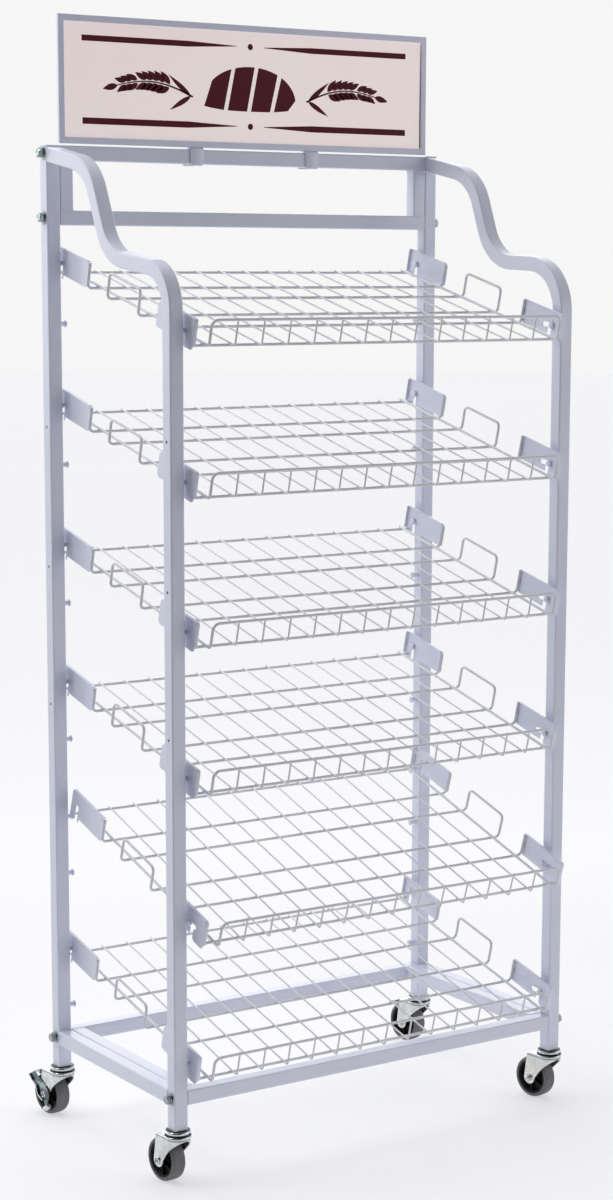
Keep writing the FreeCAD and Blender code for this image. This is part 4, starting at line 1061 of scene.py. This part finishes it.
def shelf_plates():
    b = Build()
    top, low, R, r = 45.3, -6.0, 5.5, 4.0
    # rear plate
    yi, yo = 65.95, 183.8
    rim = [(yo, 0.6)] + arc2(yo - R, top - R, R, 0, 90, 8) + [(yi + 5.0, top)]
    rest = [(yi + 2.6, top - 3.3), (yi + 0.8, top - 4.9), (yi, top - 7.2)] + arc2(yi + 6, 7.0, 6.0, 180, 270, 6) + [(152.25, 1.0), (152.25, low), (155.25, low)]
    rest += [(160.45 + 5.2 * math.cos(math.radians(a)), 18.84 + 4.16 * math.sin(math.radians(a)))
             for a in range(180, -1, -15)]
    rest += [(165.65, low)] + arc2(yo - 6, low + 6, 6.0, 270, 360, 6) + [(yo, 0.6)]
    rear = (rim, rest)
    # front plate
    yi, yo = -172.75, -290.2
    rim = [(yi - 5.0, top)] + arc2(yo + R, top - R, R, 90, 180, 8) + [(yo, 0.6)]
    rest = [(yo, 0.6)] + arc2(yo + 6, low + 6, 6.0, 180, 270, 6) + [(-265.6, low), (-264.0, -5.75), (-262.7, -5.1)]
    rest += [(-257.5, -2.1)]
    seat, tilted, hs = V(-259.55, 18.8), V(-236.0, 15.1), 4.2
    along = unit(tilted - seat)
    across = V(-along[1], along[0])

    def under(y):
        t = (y - seat[0]) / along[0]
        return float((seat + along * t - across * hs)[1])

    rest += [(-257.5, under(-257.5))]
    for a in range(270, 89, -15):
        w = seat + along * (hs * math.cos(math.radians(a))) + across * (hs * math.sin(math.radians(a)))
        rest.append(tuple(w))
    for a in range(90, -91, -15):
        w = tilted + along * (hs * math.cos(math.radians(a))) + across * (hs * math.sin(math.radians(a)))
        rest.append(tuple(w))
    rest += [(-245.5, under(-245.5)), (-247.0, under(-247.0) - 2.0), (-247.0, 1.0)]
    rest += arc2(yi - 6, 7.0, 6.0, 270, 360, 6) + [(yi, top - 7.2), (yi - 0.8, top - 4.9), (yi - 2.6, top - 3.3)]
    front = (rim, rest)
    for rim, rest in (rear, front):
        for sx in (-1, 1):
            flanged(b, rim, rest, sx)
    return b


wire_mesh = wires.mesh("wires", [M_WIRE], 50)
plate_mesh = shelf_plates().mesh("plates", [M_COAT])
for n in range(1, 7):
    if n == 5:
        y0, z0, ang = 25.919, 503.761, 17.499
    else:
        y0, z0, ang = 52.645, {1: 1456.0, 2: 1215.0, 3: 974.0, 4: 733.0, 6: 251.0}[n], 14.056
    m = Matrix.Translation((0, y0 * MM, z0 * MM)) @ Matrix.Rotation(math.radians(ang), 4, "X")
    body = on_body("shelf_%d_grid" % n)
    piece("shelf_%d_wires" % n, wire_mesh, body, ["shelf_%d_grid" % n, "shelf_%d_frame" % n], m)
    piece("shelf_%d_plates" % n, plate_mesh, body, ["shelf_%d_hangers" % n], m)

# --------------------------------------------------------------------------- sign
SIGN_LOW, SIGN_TOP = 1713.7, 1927.0


def sign_frame():
    r = 0.9
    arc = lambda cd, cy, a0: [(cd + r * math.cos(math.radians(a0 + 22.5 * k)), cy + r * math.sin(math.radians(a0 + 22.5 * k)))
                              for k in range(5)]
    sec = (arc(r, 191 + r, 180) + [(r + 0.6, 191.0), (10.0, 191.0)] + arc(11 - r, 191 + r, 270) + [(11.0, 193.25), (5.5, 193.25), (5.5, 196.75),
           (11.0, 196.75)] + arc(11 - r, 199 - r, 0) + [(10.0, 199.0), (r + 0.6, 199.0)] + arc(r, 199 - r, 90))
    b = Build()
    verts, faces = [], []
    for d, y in sec:
        verts += [(-381 + d, y, SIGN_LOW + d), (381 - d, y, SIGN_LOW + d), (381 - d, y, SIGN_TOP - d), (-381 + d, y, SIGN_TOP - d)]
    m = len(sec)
    for i in range(m):
        j = (i + 1) % m
        for k in range(4):
            l = (k + 1) % 4
            faces.append((4 * i + k, 4 * i + l, 4 * j + l, 4 * j + k))
    b.add(verts, faces)
    tool = Build()
    x0, x1, y0, y1, z0, z1 = 370.5, 395.0, 193.25, 196.75, SIGN_LOW + 5.5, SIGN_TOP - 5.5
    tool.add([(x0, y0, z0), (x1, y0, z0), (x1, y1, z0), (x0, y1, z0), (x0, y0, z1), (x1, y0, z1), (x1, y1, z1), (x0, y1, z1)],
             [(0, 3, 2, 1), (4, 5, 6, 7), (0, 1, 5, 4), (1, 2, 6, 5), (2, 3, 7, 6), (3, 0, 4, 7)])
    piece("sign_frame_folded", carved(b.mesh("sign_frame", [M_COAT]), tool), on_body("sign_frame"),
          ["sign_frame"])


sign_frame()
b = Build()
prism(b, [(-375, 1719.7), (375, 1719.7), (375, 1921), (-375, 1921)], lambda p, q, h: (p, 193.5 + h, q), 3.0, 0.25)
board = b.mesh("sign_card_board", [M_CARD, M_BOARD])
for f in board.polygons:
    if f.normal.y > 0.5:
        f.material_index = 1
piece("sign_card_board", board, on_body("sign_card"), ["sign_card"])


# ornament on the card: tapered rules with dots, a loaf between two ears of wheat
def flat_print(b, loop, y0=193.40, deep=0.16):
    prism(b, loop, lambda p, q, h: (p, y0 + h, q), deep)


b = Build()
for z0, z1, tip in ((1884.9, 1894.8, 1890.4), (1747.3, 1758.1, 1753.0)):
    for sx in (-1, 1):
        flat_print(b, [(sx * 335.5, z0), (sx * 128.0, z0), (sx * 28.0, tip - 0.5), (sx * 28.0, tip + 0.5), (sx * 128.0, z1), (sx * 335.5, z1)])
    flat_print(b, [(5.4 * math.cos(a * math.pi / 18), tip + 5.4 * math.sin(a * math.pi / 18)) for a in range(36)])


def lens(cx, cz, length, width, angle, n=10, sharp=0.8):
    # pointed grain or leaf outline
    pts = []
    for k in range(n + 1):
        t = k / n
        w = width / 2 * math.sin(math.pi * t ** sharp)
        pts.append((t * length, -w))
    for k in range(n - 1, 0, -1):
        t = k / n
        w = width / 2 * math.sin(math.pi * t ** sharp)
        pts.append((t * length, w))
    c, s = math.cos(angle), math.sin(angle)
    return [(cx + x * c - z * s, cz + x * s + z * c) for x, z in pts]


def stroke(points, widths):
    # tapering line through points
    left, right = [], []
    for i, p in enumerate(points):
        a = V(*points[max(0, i - 1)])
        c = V(*points[min(len(points) - 1, i + 1)])
        d = unit(c - a)
        nrm = V(-d[1], d[0])
        left.append(tuple(V(*p) + nrm * widths[i] / 2))
        right.append(tuple(V(*p) - nrm * widths[i] / 2))
    return left + right[::-1]


# loaf: a domed outline in four parts, parted by slanting cuts
def loaf_top(x):
    return 1790.0 + 66.0 * math.sqrt(max(0.0, 1.0 - (x / 96.0) ** 2)) ** 0.9


def loaf_part(x0, x1, slant=16.0):
    # edges lean by `slant` between the loaf's foot and its crown
    lower, upper = [], []
    n = 14
    for k in range(n + 1):
        x = x0 + (x1 - x0) * k / n
        lower.append((x, 1779.0 + 7.0 * (abs(x) / 96.0) ** 3))
    for k in range(n, -1, -1):
        x = min(95.5, max(-95.5, x0 + slant + (x1 - x0) * k / n))
        upper.append((x, loaf_top(x)))
    return lower + upper


CUTS = [(-95.0, -55.0), (-47.0, -7.0), (1.0, 41.0), (49.0, 79.0)]
for x0, x1 in CUTS:
    flat_print(b, loaf_part(x0, x1))

# wheat ears, mirror images either side
for sx in (-1, 1):
    n_st = 26
    stem = []
    for k in range(n_st + 1):
        t = k / n_st
        stem.append((118.0 + 150.0 * t, 1800.0 + 34.0 * t - 20.0 * t * t + 10.0 * math.sin(math.pi * t)))
    w = [3.4 - 1.6 * k / n_st for k in range(n_st + 1)]
    flat_print(b, [(sx * x, z) for x, z in stroke(stem, w)])
    for i in range(8):
        k = 8 + int(i * 2.2)
        x, z = stem[min(k, n_st)]
        d = V(*stem[min(k + 1, n_st)]) - V(*stem[max(k - 1, 0)])
        a = math.atan2(d[1], d[0])
        for side in (-1, 1):
            ang = a + side * math.radians(34.0 - i * 1.6)
            px = x + 3.0 * math.cos(a + side * math.pi / 2)
            pz = z + 3.0 * math.sin(a + side * math.pi / 2)
            flat_print(b, [(sx * u, v) for u, v in lens(px, pz, 29.0 - i * 0.9, 11.5 - i * 0.35, ang)])
    x, z = stem[-1]
    d = V(*stem[-1]) - V(*stem[-2])
    flat_print(b, [(sx * u, v) for u, v in lens(x - 1.0, z, 30.0, 11.0, math.atan2(d[1], d[0]))])
    # two blades at the foot of the stem
    for a0, ln in ((38.0, 58.0), (-30.0, 50.0)):
        flat_print(b, [(sx * u, v) for u, v in lens(122.0, 1801.0, ln, 9.0, math.radians(a0), 14, 0.7)])
b.object("sign_card_ornament", [M_INK], on_body("sign_card"), "sign_card", smooth=20)
# painted shadow: a thin tapering dark sheet on the card along the frame's right inner edge, where the gap is in shade
b = Build()
prism(b, [(367.9, 1726.0), (369.9, 1726.0), (369.9, 1912.0), (369.2, 1912.0), (368.3, 1850.0), (367.9, 1810.0)],
      lambda p, q, h: (p, 193.40 + h, q), 0.16)
b.object("sign_card_gap_shadow", [M_GAP_SHADOW], on_body("sign_card"), "sign_card", smooth=20)


def folded(b, rows, to3d):
    # bent sheet: rows of (outer 2D point, inner 2D point, low, high) along the fold
    verts, faces = [], []
    for o, i_, lo, hi in rows:
        verts += [to3d(o, lo), to3d(o, hi), to3d(i_, hi), to3d(i_, lo)]
    for k in range(len(rows) - 1):
        a, c = 4 * k, 4 * k + 4
        for j in range(4):
            l = (j + 1) % 4
            faces.append((a + j, a + l, c + l, c + j))
    faces.append((3, 2, 1, 0))
    k = 4 * (len(rows) - 1)
    faces.append((k, k + 1, k + 2, k + 3))
    b.add(verts, faces)


b = Build()
for x0 in (-126.0, 114.5):
    wide, R = 26.4, 4.5
    y0, y1, zb, zt = 188.35, 219.05, 1682.8, 1713.7
    t_leg, t_web, ro = 2.5, 3.25, 3.6
    leg = []
    for k in range(9):
        a = math.radians(90.0 * k / 8)
        z = zb + R - R * math.cos(a)
        inset = R - R * math.sin(a)
        leg.append((z, x0 + inset, x0 + wide - inset))
    rows = [((y0, z), (y0 + t_leg, z), lo, hi) for z, lo, hi in leg]
    for k in range(7):
        a = math.radians(90.0 * k / 6)
        o = (y0 + ro - ro * math.cos(a), zt - ro + ro * math.sin(a))
        i_ = (y0 + t_leg + 0.6 - 0.6 * math.cos(a), zt - t_web - 0.6 + 0.6 * math.sin(a))
        rows.append((o, i_, x0, x0 + wide))
    back = [((y0 + y1 - o[0], o[1]), (y0 + y1 - i_[0], i_[1]), lo, hi) for o, i_, lo, hi in reversed(rows)]
    folded(b, rows + back, lambda p, x: (x, p[0], p[1]))
piece("sign_clips_bent", softened(b.mesh("clips", [M_COAT]), 0.4), on_body("sign_clips"), ["sign_clips"])

# ------------------------------------------------------------------------ casters
# caster coordinates: swivel axis at the origin, own +Y the trailing direction
TR, RW, FI, FO = 32.0, 37.5, 16.0, 18.5


def circle3(a, b_, c):
    # centre and radius of the circle through three 2D points
    ax, ay, bx, by, cx, cy = *a, *b_, *c
    d = 2 * (ax * (by - cy) + bx * (cy - ay) + cx * (ay - by))
    ux = ((ax * ax + ay * ay) * (by - cy) + (bx * bx + by * by) * (cy - ay) + (cx * cx + cy * cy) * (ay - by)) / d
    uy = ((ax * ax + ay * ay) * (cx - bx) + (bx * bx + by * by) * (ax - cx) + (cx * cx + cy * cy) * (bx - ax)) / d
    return ux, uy, math.hypot(ax - ux, ay - uy)


def fork():
    b = Build()
    ex, ez, er = circle3((43.4, 36.5), (31.0, 26.2), (18.6, 38.3))
    nx, nz, nr = circle3((18.6, 38.3), (6.6, 53.6), (-8.0, 67.5))
    Y0, SWELL, BEND = -1.0, 2.2, 2.8

    def front(z):
        # front edge of the leg at a height
        if z < 38.3:
            return ex - math.sqrt(max(0.0, er * er - (z - ez) ** 2))
        if z < 67.5:
            s = 1.0 if nx < 0 else -1.0
            return nx + s * math.sqrt(max(0.0, nr * nr - (z - nz) ** 2))
        return -8.0 - 15.0 * (z - 67.5) / 13.3

    def rear(z):
        if z < 36.5:
            return ex + math.sqrt(max(0.0, er * er - (z - ez) ** 2))
        return 43.4 - 6.4 * (z - 36.5) / 47.5

    def swell(s):
        # the head is a little wider than the legs
        t = min(1.0, max(0.0, (18.0 - s) / 20.0))
        return SWELL * t * t * (3.0 - 2.0 * t)

    def point(side, s, off, z):
        # s runs along the plan line: half circle round the front, then straight back
        r = FO + swell(s) - off
        if s >= 0.0:
            return (side * r, Y0 + s, z)
        a = -s / FO
        return (side * r * math.cos(a), Y0 - r * math.sin(a), z)

    end = -0.5 * math.pi * FO
    rows = []
    levels = [ez - er * math.cos(math.radians(a)) for a in range(8, 92, 9)]
    levels += [39.5 + 28.0 * k / 14 for k in range(1, 15)] + [69.0, 70.5, 72.0, 73.5, 75.0, 76.3, 77.5, 78.5, 79.2, 79.6, 80.3, 81.2]
    for z in sorted(z for z in levels if z <= 81.2):
        y = front(z)
        s = y - Y0 if y >= Y0 else -FO * math.asin(min(1.0, (Y0 - y) / (FO + SWELL)))
        rows.append((max(s, end), rear(z) - Y0, (0.0, z), (2.5, z)))
    for k in range(1, 7):
        a = math.radians(15.0 * k)
        rows.append((end, rear(84.0) - Y0, (BEND * (1 - math.cos(a)), 81.2 + BEND * math.sin(a)),
                     (2.5 + 0.3 * (1 - math.cos(a)), 81.2 + 0.3 * math.sin(a))))
    N, verts, index, faces = 30, [], {}, []

    def vert(p):
        key = tuple(round(c, 3) + 0.0 for c in p)
        if key not in index:
            index[key] = len(verts)
            verts.append(p)
        return index[key]

    def face(*ids):
        f = []
        for q in ids:
            if q not in f:
                f.append(q)
        if len(f) > 2:
            faces.append(tuple(f))

    grid = {}
    for side in (-1, 1):
        for i, (lo, hi, o, i_) in enumerate(rows):
            ss = [lo + (hi - lo) * k / N for k in range(N + 1)]
            grid[side, i] = ([vert(point(side, s, *o)) for s in ss], [vert(point(side, s, *i_)) for s in ss])
        for i in range(len(rows) - 1):
            (o0, i0), (o1, i1) = grid[side, i], grid[side, i + 1]
            for k in range(N):
                face(o0[k], o0[k + 1], o1[k + 1], o1[k])
                face(i0[k + 1], i0[k], i1[k], i1[k + 1])
            if rows[i][0] > end + 1e-6:
                face(i0[0], o0[0], o1[0], i1[0])
            face(o0[N], i0[N], i1[N], o1[N])
        o0, i0 = grid[side, 0]
        for k in range(N):
            face(i0[k], i0[k + 1], o0[k + 1], o0[k])
    (ol, il), (orr, ir) = grid[-1, len(rows) - 1], grid[1, len(rows) - 1]
    for k in range(N):
        face(ol[k], ol[k + 1], orr[k + 1], orr[k])
        face(il[k + 1], il[k], ir[k], ir[k + 1])
    face(ol[N], il[N], ir[N], orr[N])
    b.add(verts, faces)
    # pressed raceway plate on top, with its rolled rim
    prof = [(5.1, 83.0), (5.1, 87.3), (14.6, 87.3), (15.2, 86.7), (16.6, 86.7), (17.6, 87.0), (19.0, 87.6)]
    prof += [(20.6 + 2.9 * math.cos(math.radians(a)), 84.9 + 2.9 * math.sin(math.radians(a))) for a in range(100, -91, -10)]
    prof += [(19.4, 82.0), (8.6, 82.0), (8.6, 83.0)]
    lathe(b, prof, 72, mat=1)
    return b


def axle(out):
    # along own +Z: pin end below, domed head above
    b = Build()
    prof = [(0, -25.7), (2.6, -25.7), (3.2, -25.4), (4.0, -24.7), (4.0, -23.7), (5.2, -23.7), (6.0, -23.2), (6.2, -22.6),
            (6.2, -19.2), (5.9, -18.52), (4.0, -18.52), (4.0, 18.52), (6.3, 18.52), (6.7, 18.9), (6.8, 19.8),
            (6.5, 20.6), (5.9, 21.1), (5.1, 21.1), (4.4, 20.6), (3.9, 19.6), (3.6, 18.0), (3.6, 13.0), (0, 12.4)]
    lathe(b, prof, 40)
    return b


def hub():
    b = Build()
    half = [(4.2, 14.7), (4.6, 15.0), (7.9, 15.0), (8.6, 14.7), (9.2, 14.0), (9.6, 6.0), (10.4, 5.0), (12.0, 4.5),
            (24.0, 3.6), (25.4, 4.2), (27.3, 10.4), (28.0, 11.5), (28.8, 11.8), (31.0, 11.8)]
    lathe(b, half + [(r, -z) for r, z in reversed(half)], 72)
    for n in range(6):
        a = math.radians(60.0 * n)
        c, s = math.cos(a), math.sin(a)
        for sg in (-1, 1):
            prism(b, [(8.6, 3.0 * sg), (26.6, 3.0 * sg), (27.7, 9.6 * sg), (26.4, 9.6 * sg), (9.2, 11.6 * sg), (8.6, 11.6 * sg)],
                  lambda p, q, h, c=c, s=s: (p * c - (h - 0.9) * s, p * s + (h - 0.9) * c, q), 1.8, 0.3)
    return b


def tyre():
    b = Build()
    half = [(31.0, 11.8), (31.5, 12.5), (32.2, 12.9), (33.2, 13.0), (34.6, 12.95), (35.5, 12.6), (36.2, 11.9), (36.75, 10.8),
            (37.15, 9.2), (37.35, 7.4), (37.5, 5.0), (37.5, 2.0)]
    lathe(b, half + [(r, -z) for r, z in reversed(half)], 96)
    return b


def brake(out):
    b = Build()
    rear = [(70.0, 67.0), (59.0, 57.0), (48.0, 50.0), (46.0, 42.0), (42.0, 34.0), (29.5, 27.0)]
    pts = rear[::-1] + [(58.0, 75.0), (40.0, 64.5), (24.0, 55.0), (15.0, 47.5), (13.0, 38.0), (15.5, 29.0),
                        (19.5, 22.0), (13.5, 11.0), (16.0, 9.4), (26.5, 19.0)]
    loop = corners(pts, [1, 3, 4, 4, 1, 1, 1, 6, 6, 5, 6, 4, 2, 0.5, 0.5, 3], 4)
    hole = [(TR + 6.9 * math.cos(a * math.pi / 16), RW + 6.9 * math.sin(a * math.pi / 16)) for a in range(32)]
    prism(b, loop, lambda p, q, h: (out * (19.1 + h), p, q), 2.0, 0.3, holes=[hole])
    # rear edge of the plate turned outwards
    inner = [(69.0, 68.6), (57.9, 58.5), (46.5, 51.2), (44.3, 42.5), (40.7, 35.3), (28.7, 28.6)]
    lip = corners(rear + inner[::-1], [0.4, 3, 4, 4, 2, 0.4, 0.4, 2, 4, 4, 3, 0.4], 4)
    prism(b, lip, lambda p, q, h: (out * (20.9 + h), p, q), 3.6, 0.4)
    rod(b, rounded([V(out * 23.8, y + 0.3, z + 0.6) for y, z in rear], [4.0, 5.0, 5.0, 3.0]), 1.4, 10, mat=2)
    # pedal with a rolled back edge and three ridges pressed across it
    ang = math.atan2(7.0, -12.0) + math.pi
    c, s = math.cos(ang), math.sin(ang)
    sec = [(-12.0, -0.9), (-11.6, -1.1), (11.0, -1.1), (12.0, -0.6), (12.0, 0.5), (11.3, 1.1)]
    for u in (7.5, 2.5, -2.5):
        sec += [(u + 1.1, 1.1), (u + 0.5, 1.1 + 0.55), (u - 0.5, 1.1 + 0.55), (u - 1.1, 1.1)]
    sec += [(-11.2, 1.1), (-12.0, 0.5)]
    prism(b, [(64.0 + u * c - w * s, 71.5 + u * s + w * c) for u, w in sec], lambda p, q, h: (h - 21.1, p, q), 42.2, 0.4, mat=1)
    # turned-out tab at the front, release end
    c, s = math.cos(math.radians(30)), math.sin(math.radians(30))
    tab = corners([(0.0, -5.2), (15.0, -5.2), (15.0, 5.2), (0.0, 5.2)], [4.0, 4.8, 3.0, 2.0], 5)
    prism(b, tab, lambda p, q, h: (out * (14.6 + p), 17.4 + q * c - (h - 1.0) * s, 19.6 - 0.34 * p + q * s + (h - 1.0) * c), 2.0, 0.6, mat=2)
    # brake shoe under the pedal
    c, s = math.cos(math.radians(-52)), math.sin(math.radians(-52))
    sec = corners([(-4.5, -2.0), (4.5, -2.0), (4.5, 2.0), (-4.5, 2.0)], [0.8] * 4, 3)
    prism(b, [(58.0 + u * c - w * s, 71.0 + u * s + w * c) for u, w in sec], lambda p, q, h: (h - 8.0, p, q), 16.0, 0.5)
    return b


stem = Build()
lathe(stem, [(0, 80.4), (5.4, 80.4), (6.8, 80.55), (7.7, 81.0), (8.0, 81.5), (8.0, 82.4), (5.0, 82.4), (5.0, 92.8), (16.6, 92.8),
             (17.2, 90.4), (17.9, 89.5)]
      + [(18.6 + 3.4 * math.cos(math.radians(a)), 92.8 + 3.4 * math.sin(math.radians(a))) for a in range(-90, 91, 10)]
      + [(17.6, 96.1), (16.8, 95.7), (14.6, 95.7), (13.9, 96.1), (13.2, 97.0), (5.5, 97.0), (5.5, 131.0), (4.5, 132.0), (0, 132.0)], 72)
b = Build()
FEET = {"front_left": (-PX, -PY, -5.6, -1), "front_right": (PX, -PY, -10.2, 1),
        "rear_left": (-PX, PY, -8.0, -1), "rear_right": (PX, PY, -8.0, 1)}
for cx, cy, yaw, out in FEET.values():
    b.place(stem, Matrix.Translation((cx, cy, 0)))
b.object("caster_stems_turned", [M_RING], on_body("caster_stems"), "zinc", ["caster_stems"], smooth=30)

shared = {}
for corner, (cx, cy, yaw, out) in FEET.items():
    foot = Matrix.Translation((cx * MM, cy * MM, 0)) @ Matrix.Rotation(math.radians(-yaw), 4, "Z")
    spin = Matrix.Translation((0, TR * MM, RW * MM)) @ Matrix.Rotation(math.radians(90.0 * out), 4, "Y")
    name = "caster_%s_" % corner
    jobs = [("fork", "fork_pressed", "fork", lambda: fork(), [M_ZINC, M_RING], "zinc", foot, 34),
            ("axle", "axle_turned", "axle", lambda: axle(1), [M_RING], "zinc", foot @ spin, 30),
            ("hub", "hub_moulded", "hub", lambda: hub(), [M_HUB], "hub_plastic", foot @ spin, 34),
            ("tyre", "tyre_moulded", "tyre", lambda: tyre(), [M_TREAD], "tread", foot @ spin, 40)]
    if corner.startswith("rear"):
        jobs.append(("brake", "brake_pressed", "brake%d" % out, lambda out=out: brake(out), [M_LEVER_SHADED, M_ZINC, M_EDGE_LIT], "zinc", foot, 30))
    for part, suffix, key, make, mats, slot, m, smooth in jobs:
        node = name + part
        if key not in shared:
            me = make().mesh(key, mats, smooth)
            shared[key] = softened(me, 0.35, 2, 60.0) if part == "fork" else me
        piece(name + suffix, shared[key], on_body(node), [node], m)

# CAD solids that stay as they are
for node, mat in (("rail_end_nuts", M_ZINC), ("caster_sockets", M_ZINC), ("swivel_balls", M_ZINC)):
    me = frame["nodes"][node].data
    me.materials.clear()
    me.materials.append(mat)

# -------------------------------------------------------------------------- stage
# floor glow by place: near the rack, towards the viewer, beyond
GLOW = {"near": 0.50, "front": 0.0, "back": 0.56}
# sky glow by direction: (direction, exponent, strength)
LOBES = [((0, 1, 0.2), 2.0, 2.22), ((-1, 0, 0.2), 2.0, 0.27), ((1, 0, 0.1), 2.0, 1.06),
         ((0.7, -0.7, 0.1), 2.0, 0.20)]
# soft boxes: name, place, target, width, height, watts
BOXES = [("left_high", (-1.9, 0.6, 2.7), (-0.35, 0.1, 1.6), 0.9, 0.9, 14.0),
         ("overhead", (-0.4, 0.6, 4.6), (0.0, 0.0, 0.8), 2.2, 2.2, 34.0),
         ("right_front", (2.6, -2.2, 1.6), (0.3, 0.0, 0.8), 1.6, 1.8, 7.8),
         ("front_low", (0.2, -2.6, 0.35), (0.0, 0.0, 0.4), 1.8, 0.5, 4.5)]
SKY_TINT = (0.965, 0.975, 1.0)
BOX_TINT = (1.0, 0.99, 0.985)


def stage_floor():
    n, R = 96, 30000.0
    verts, faces = [(0, 0, 0)], []
    radii = [400.0, 1200.0, 3000.0, 8000.0, R]
    for r in radii:
        verts += [(r * math.cos(2 * math.pi * k / n), r * math.sin(2 * math.pi * k / n), 0) for k in range(n)]
    for k in range(n):
        faces.append((0, 1 + k, 1 + (k + 1) % n))
    for i in range(len(radii) - 1):
        for k in range(n):
            l = (k + 1) % n
            faces.append((1 + i * n + k, 1 + (i + 1) * n + k, 1 + (i + 1) * n + l, 1 + i * n + l))
    me = bpy.data.meshes.new("floor")
    me.from_pydata([(x * MM, y * MM, z * MM) for x, y, z in verts], [], faces)
    ob = bpy.data.objects.new("floor", me)
    scene.collection.objects.link(ob)
    n_ = Nodes("studio_floor")
    t = n_.tree
    sep = t.nodes.new("ShaderNodeSeparateXYZ")
    n_.link(n_.coords.outputs["Object"], sep.inputs[0])
    # distance along the view's ground direction, metres
    along = n_.math("ADD", n_.math("MULTIPLY", sep.outputs[0], 0.567), n_.math("MULTIPLY", sep.outputs[1], 0.824))

    def smooth(v, lo, hi, a, b):
        m = t.nodes.new("ShaderNodeMapRange")
        m.interpolation_type = "SMOOTHSTEP"
        for i, q in ((1, lo), (2, hi), (3, a), (4, b)):
            m.inputs[i].default_value = q
        n_.link(v, m.inputs[0])
        return m.outputs[0]

    # the floor in front lights nothing, but is as pale to look at as the rest
    path = t.nodes.new("ShaderNodeLightPath")
    low = n_.math("MULTIPLY", path.outputs["Is Camera Ray"], GLOW["near"] - GLOW["front"])
    lit = smooth(along, -1.6, -0.75, GLOW["front"], GLOW["near"])
    front = n_.math("MINIMUM", n_.math("ADD", lit, low), GLOW["near"])
    glow = n_.math("ADD", front, smooth(along, 0.9, 2.2, 0.0, GLOW["back"] - GLOW["near"]))
    cloud = n_.noise(0.6, 2.0, 0.5)
    n_.set(Base_Color=n_.ramp(cloud, (0.3, (0.50, 0.50, 0.51)), (0.7, (0.515, 0.515, 0.52))), Roughness=0.9,
           Specular_IOR_Level=0.1, Emission_Color=(0.985, 0.985, 1.0), Emission_Strength=glow)
    me.materials.append(n_.mat)
    return ob


def world():
    w = bpy.data.worlds.new("studio")
    scene.world = w
    w.use_nodes = True
    t = w.node_tree
    t.nodes.clear()
    out = t.nodes.new("ShaderNodeOutputWorld")
    bg = t.nodes.new("ShaderNodeBackground")
    seen = t.nodes.new("ShaderNodeBackground")
    mix = t.nodes.new("ShaderNodeMixShader")
    path = t.nodes.new("ShaderNodeLightPath")
    tc = t.nodes.new("ShaderNodeTexCoord")

    def op(kind, p, q):
        n = t.nodes.new("ShaderNodeMath")
        n.operation = kind
        for i, v in enumerate((p, q)):
            if isinstance(v, (int, float)):
                n.inputs[i].default_value = v
            else:
                t.links.new(v, n.inputs[i])
        return n.outputs[0]

    level = None
    for direction, power, strength in LOBES:
        d = t.nodes.new("ShaderNodeVectorMath")
        d.operation = "DOT_PRODUCT"
        t.links.new(tc.outputs["Generated"], d.inputs[0])
        d.inputs[1].default_value = Vector(direction).normalized()
        lobe = op("MULTIPLY", op("POWER", op("MAXIMUM", d.outputs["Value"], 0.0), power), strength)
        level = lobe if level is None else op("ADD", level, lobe)
    t.links.new(level, bg.inputs["Strength"])
    bg.inputs["Color"].default_value = (*SKY_TINT, 1.0)
    seen.inputs["Color"].default_value = (0.925, 0.925, 0.92, 1.0)
    seen.inputs["Strength"].default_value = 1.0
    t.links.new(path.outputs["Is Camera Ray"], mix.inputs[0])
    t.links.new(bg.outputs[0], mix.inputs[1])
    t.links.new(seen.outputs[0], mix.inputs[2])
    t.links.new(mix.outputs[0], out.inputs["Surface"])


floor = stage_floor()
world()
lamps = {}
for name, place, target, wide, tall, watts in BOXES:
    lamps[name] = area_light(name, place, target, wide, watts, BOX_TINT, tall)
# the low box stands close to the floor, so it is kept from burning a patch into it
unlit = bpy.data.collections.new("not_lit_by_front_low")
unlit.objects.link(floor)
lamps["front_low"].light_linking.receiver_collection = unlit
unlit.collection_objects[0].light_linking.link_state = "EXCLUDE"
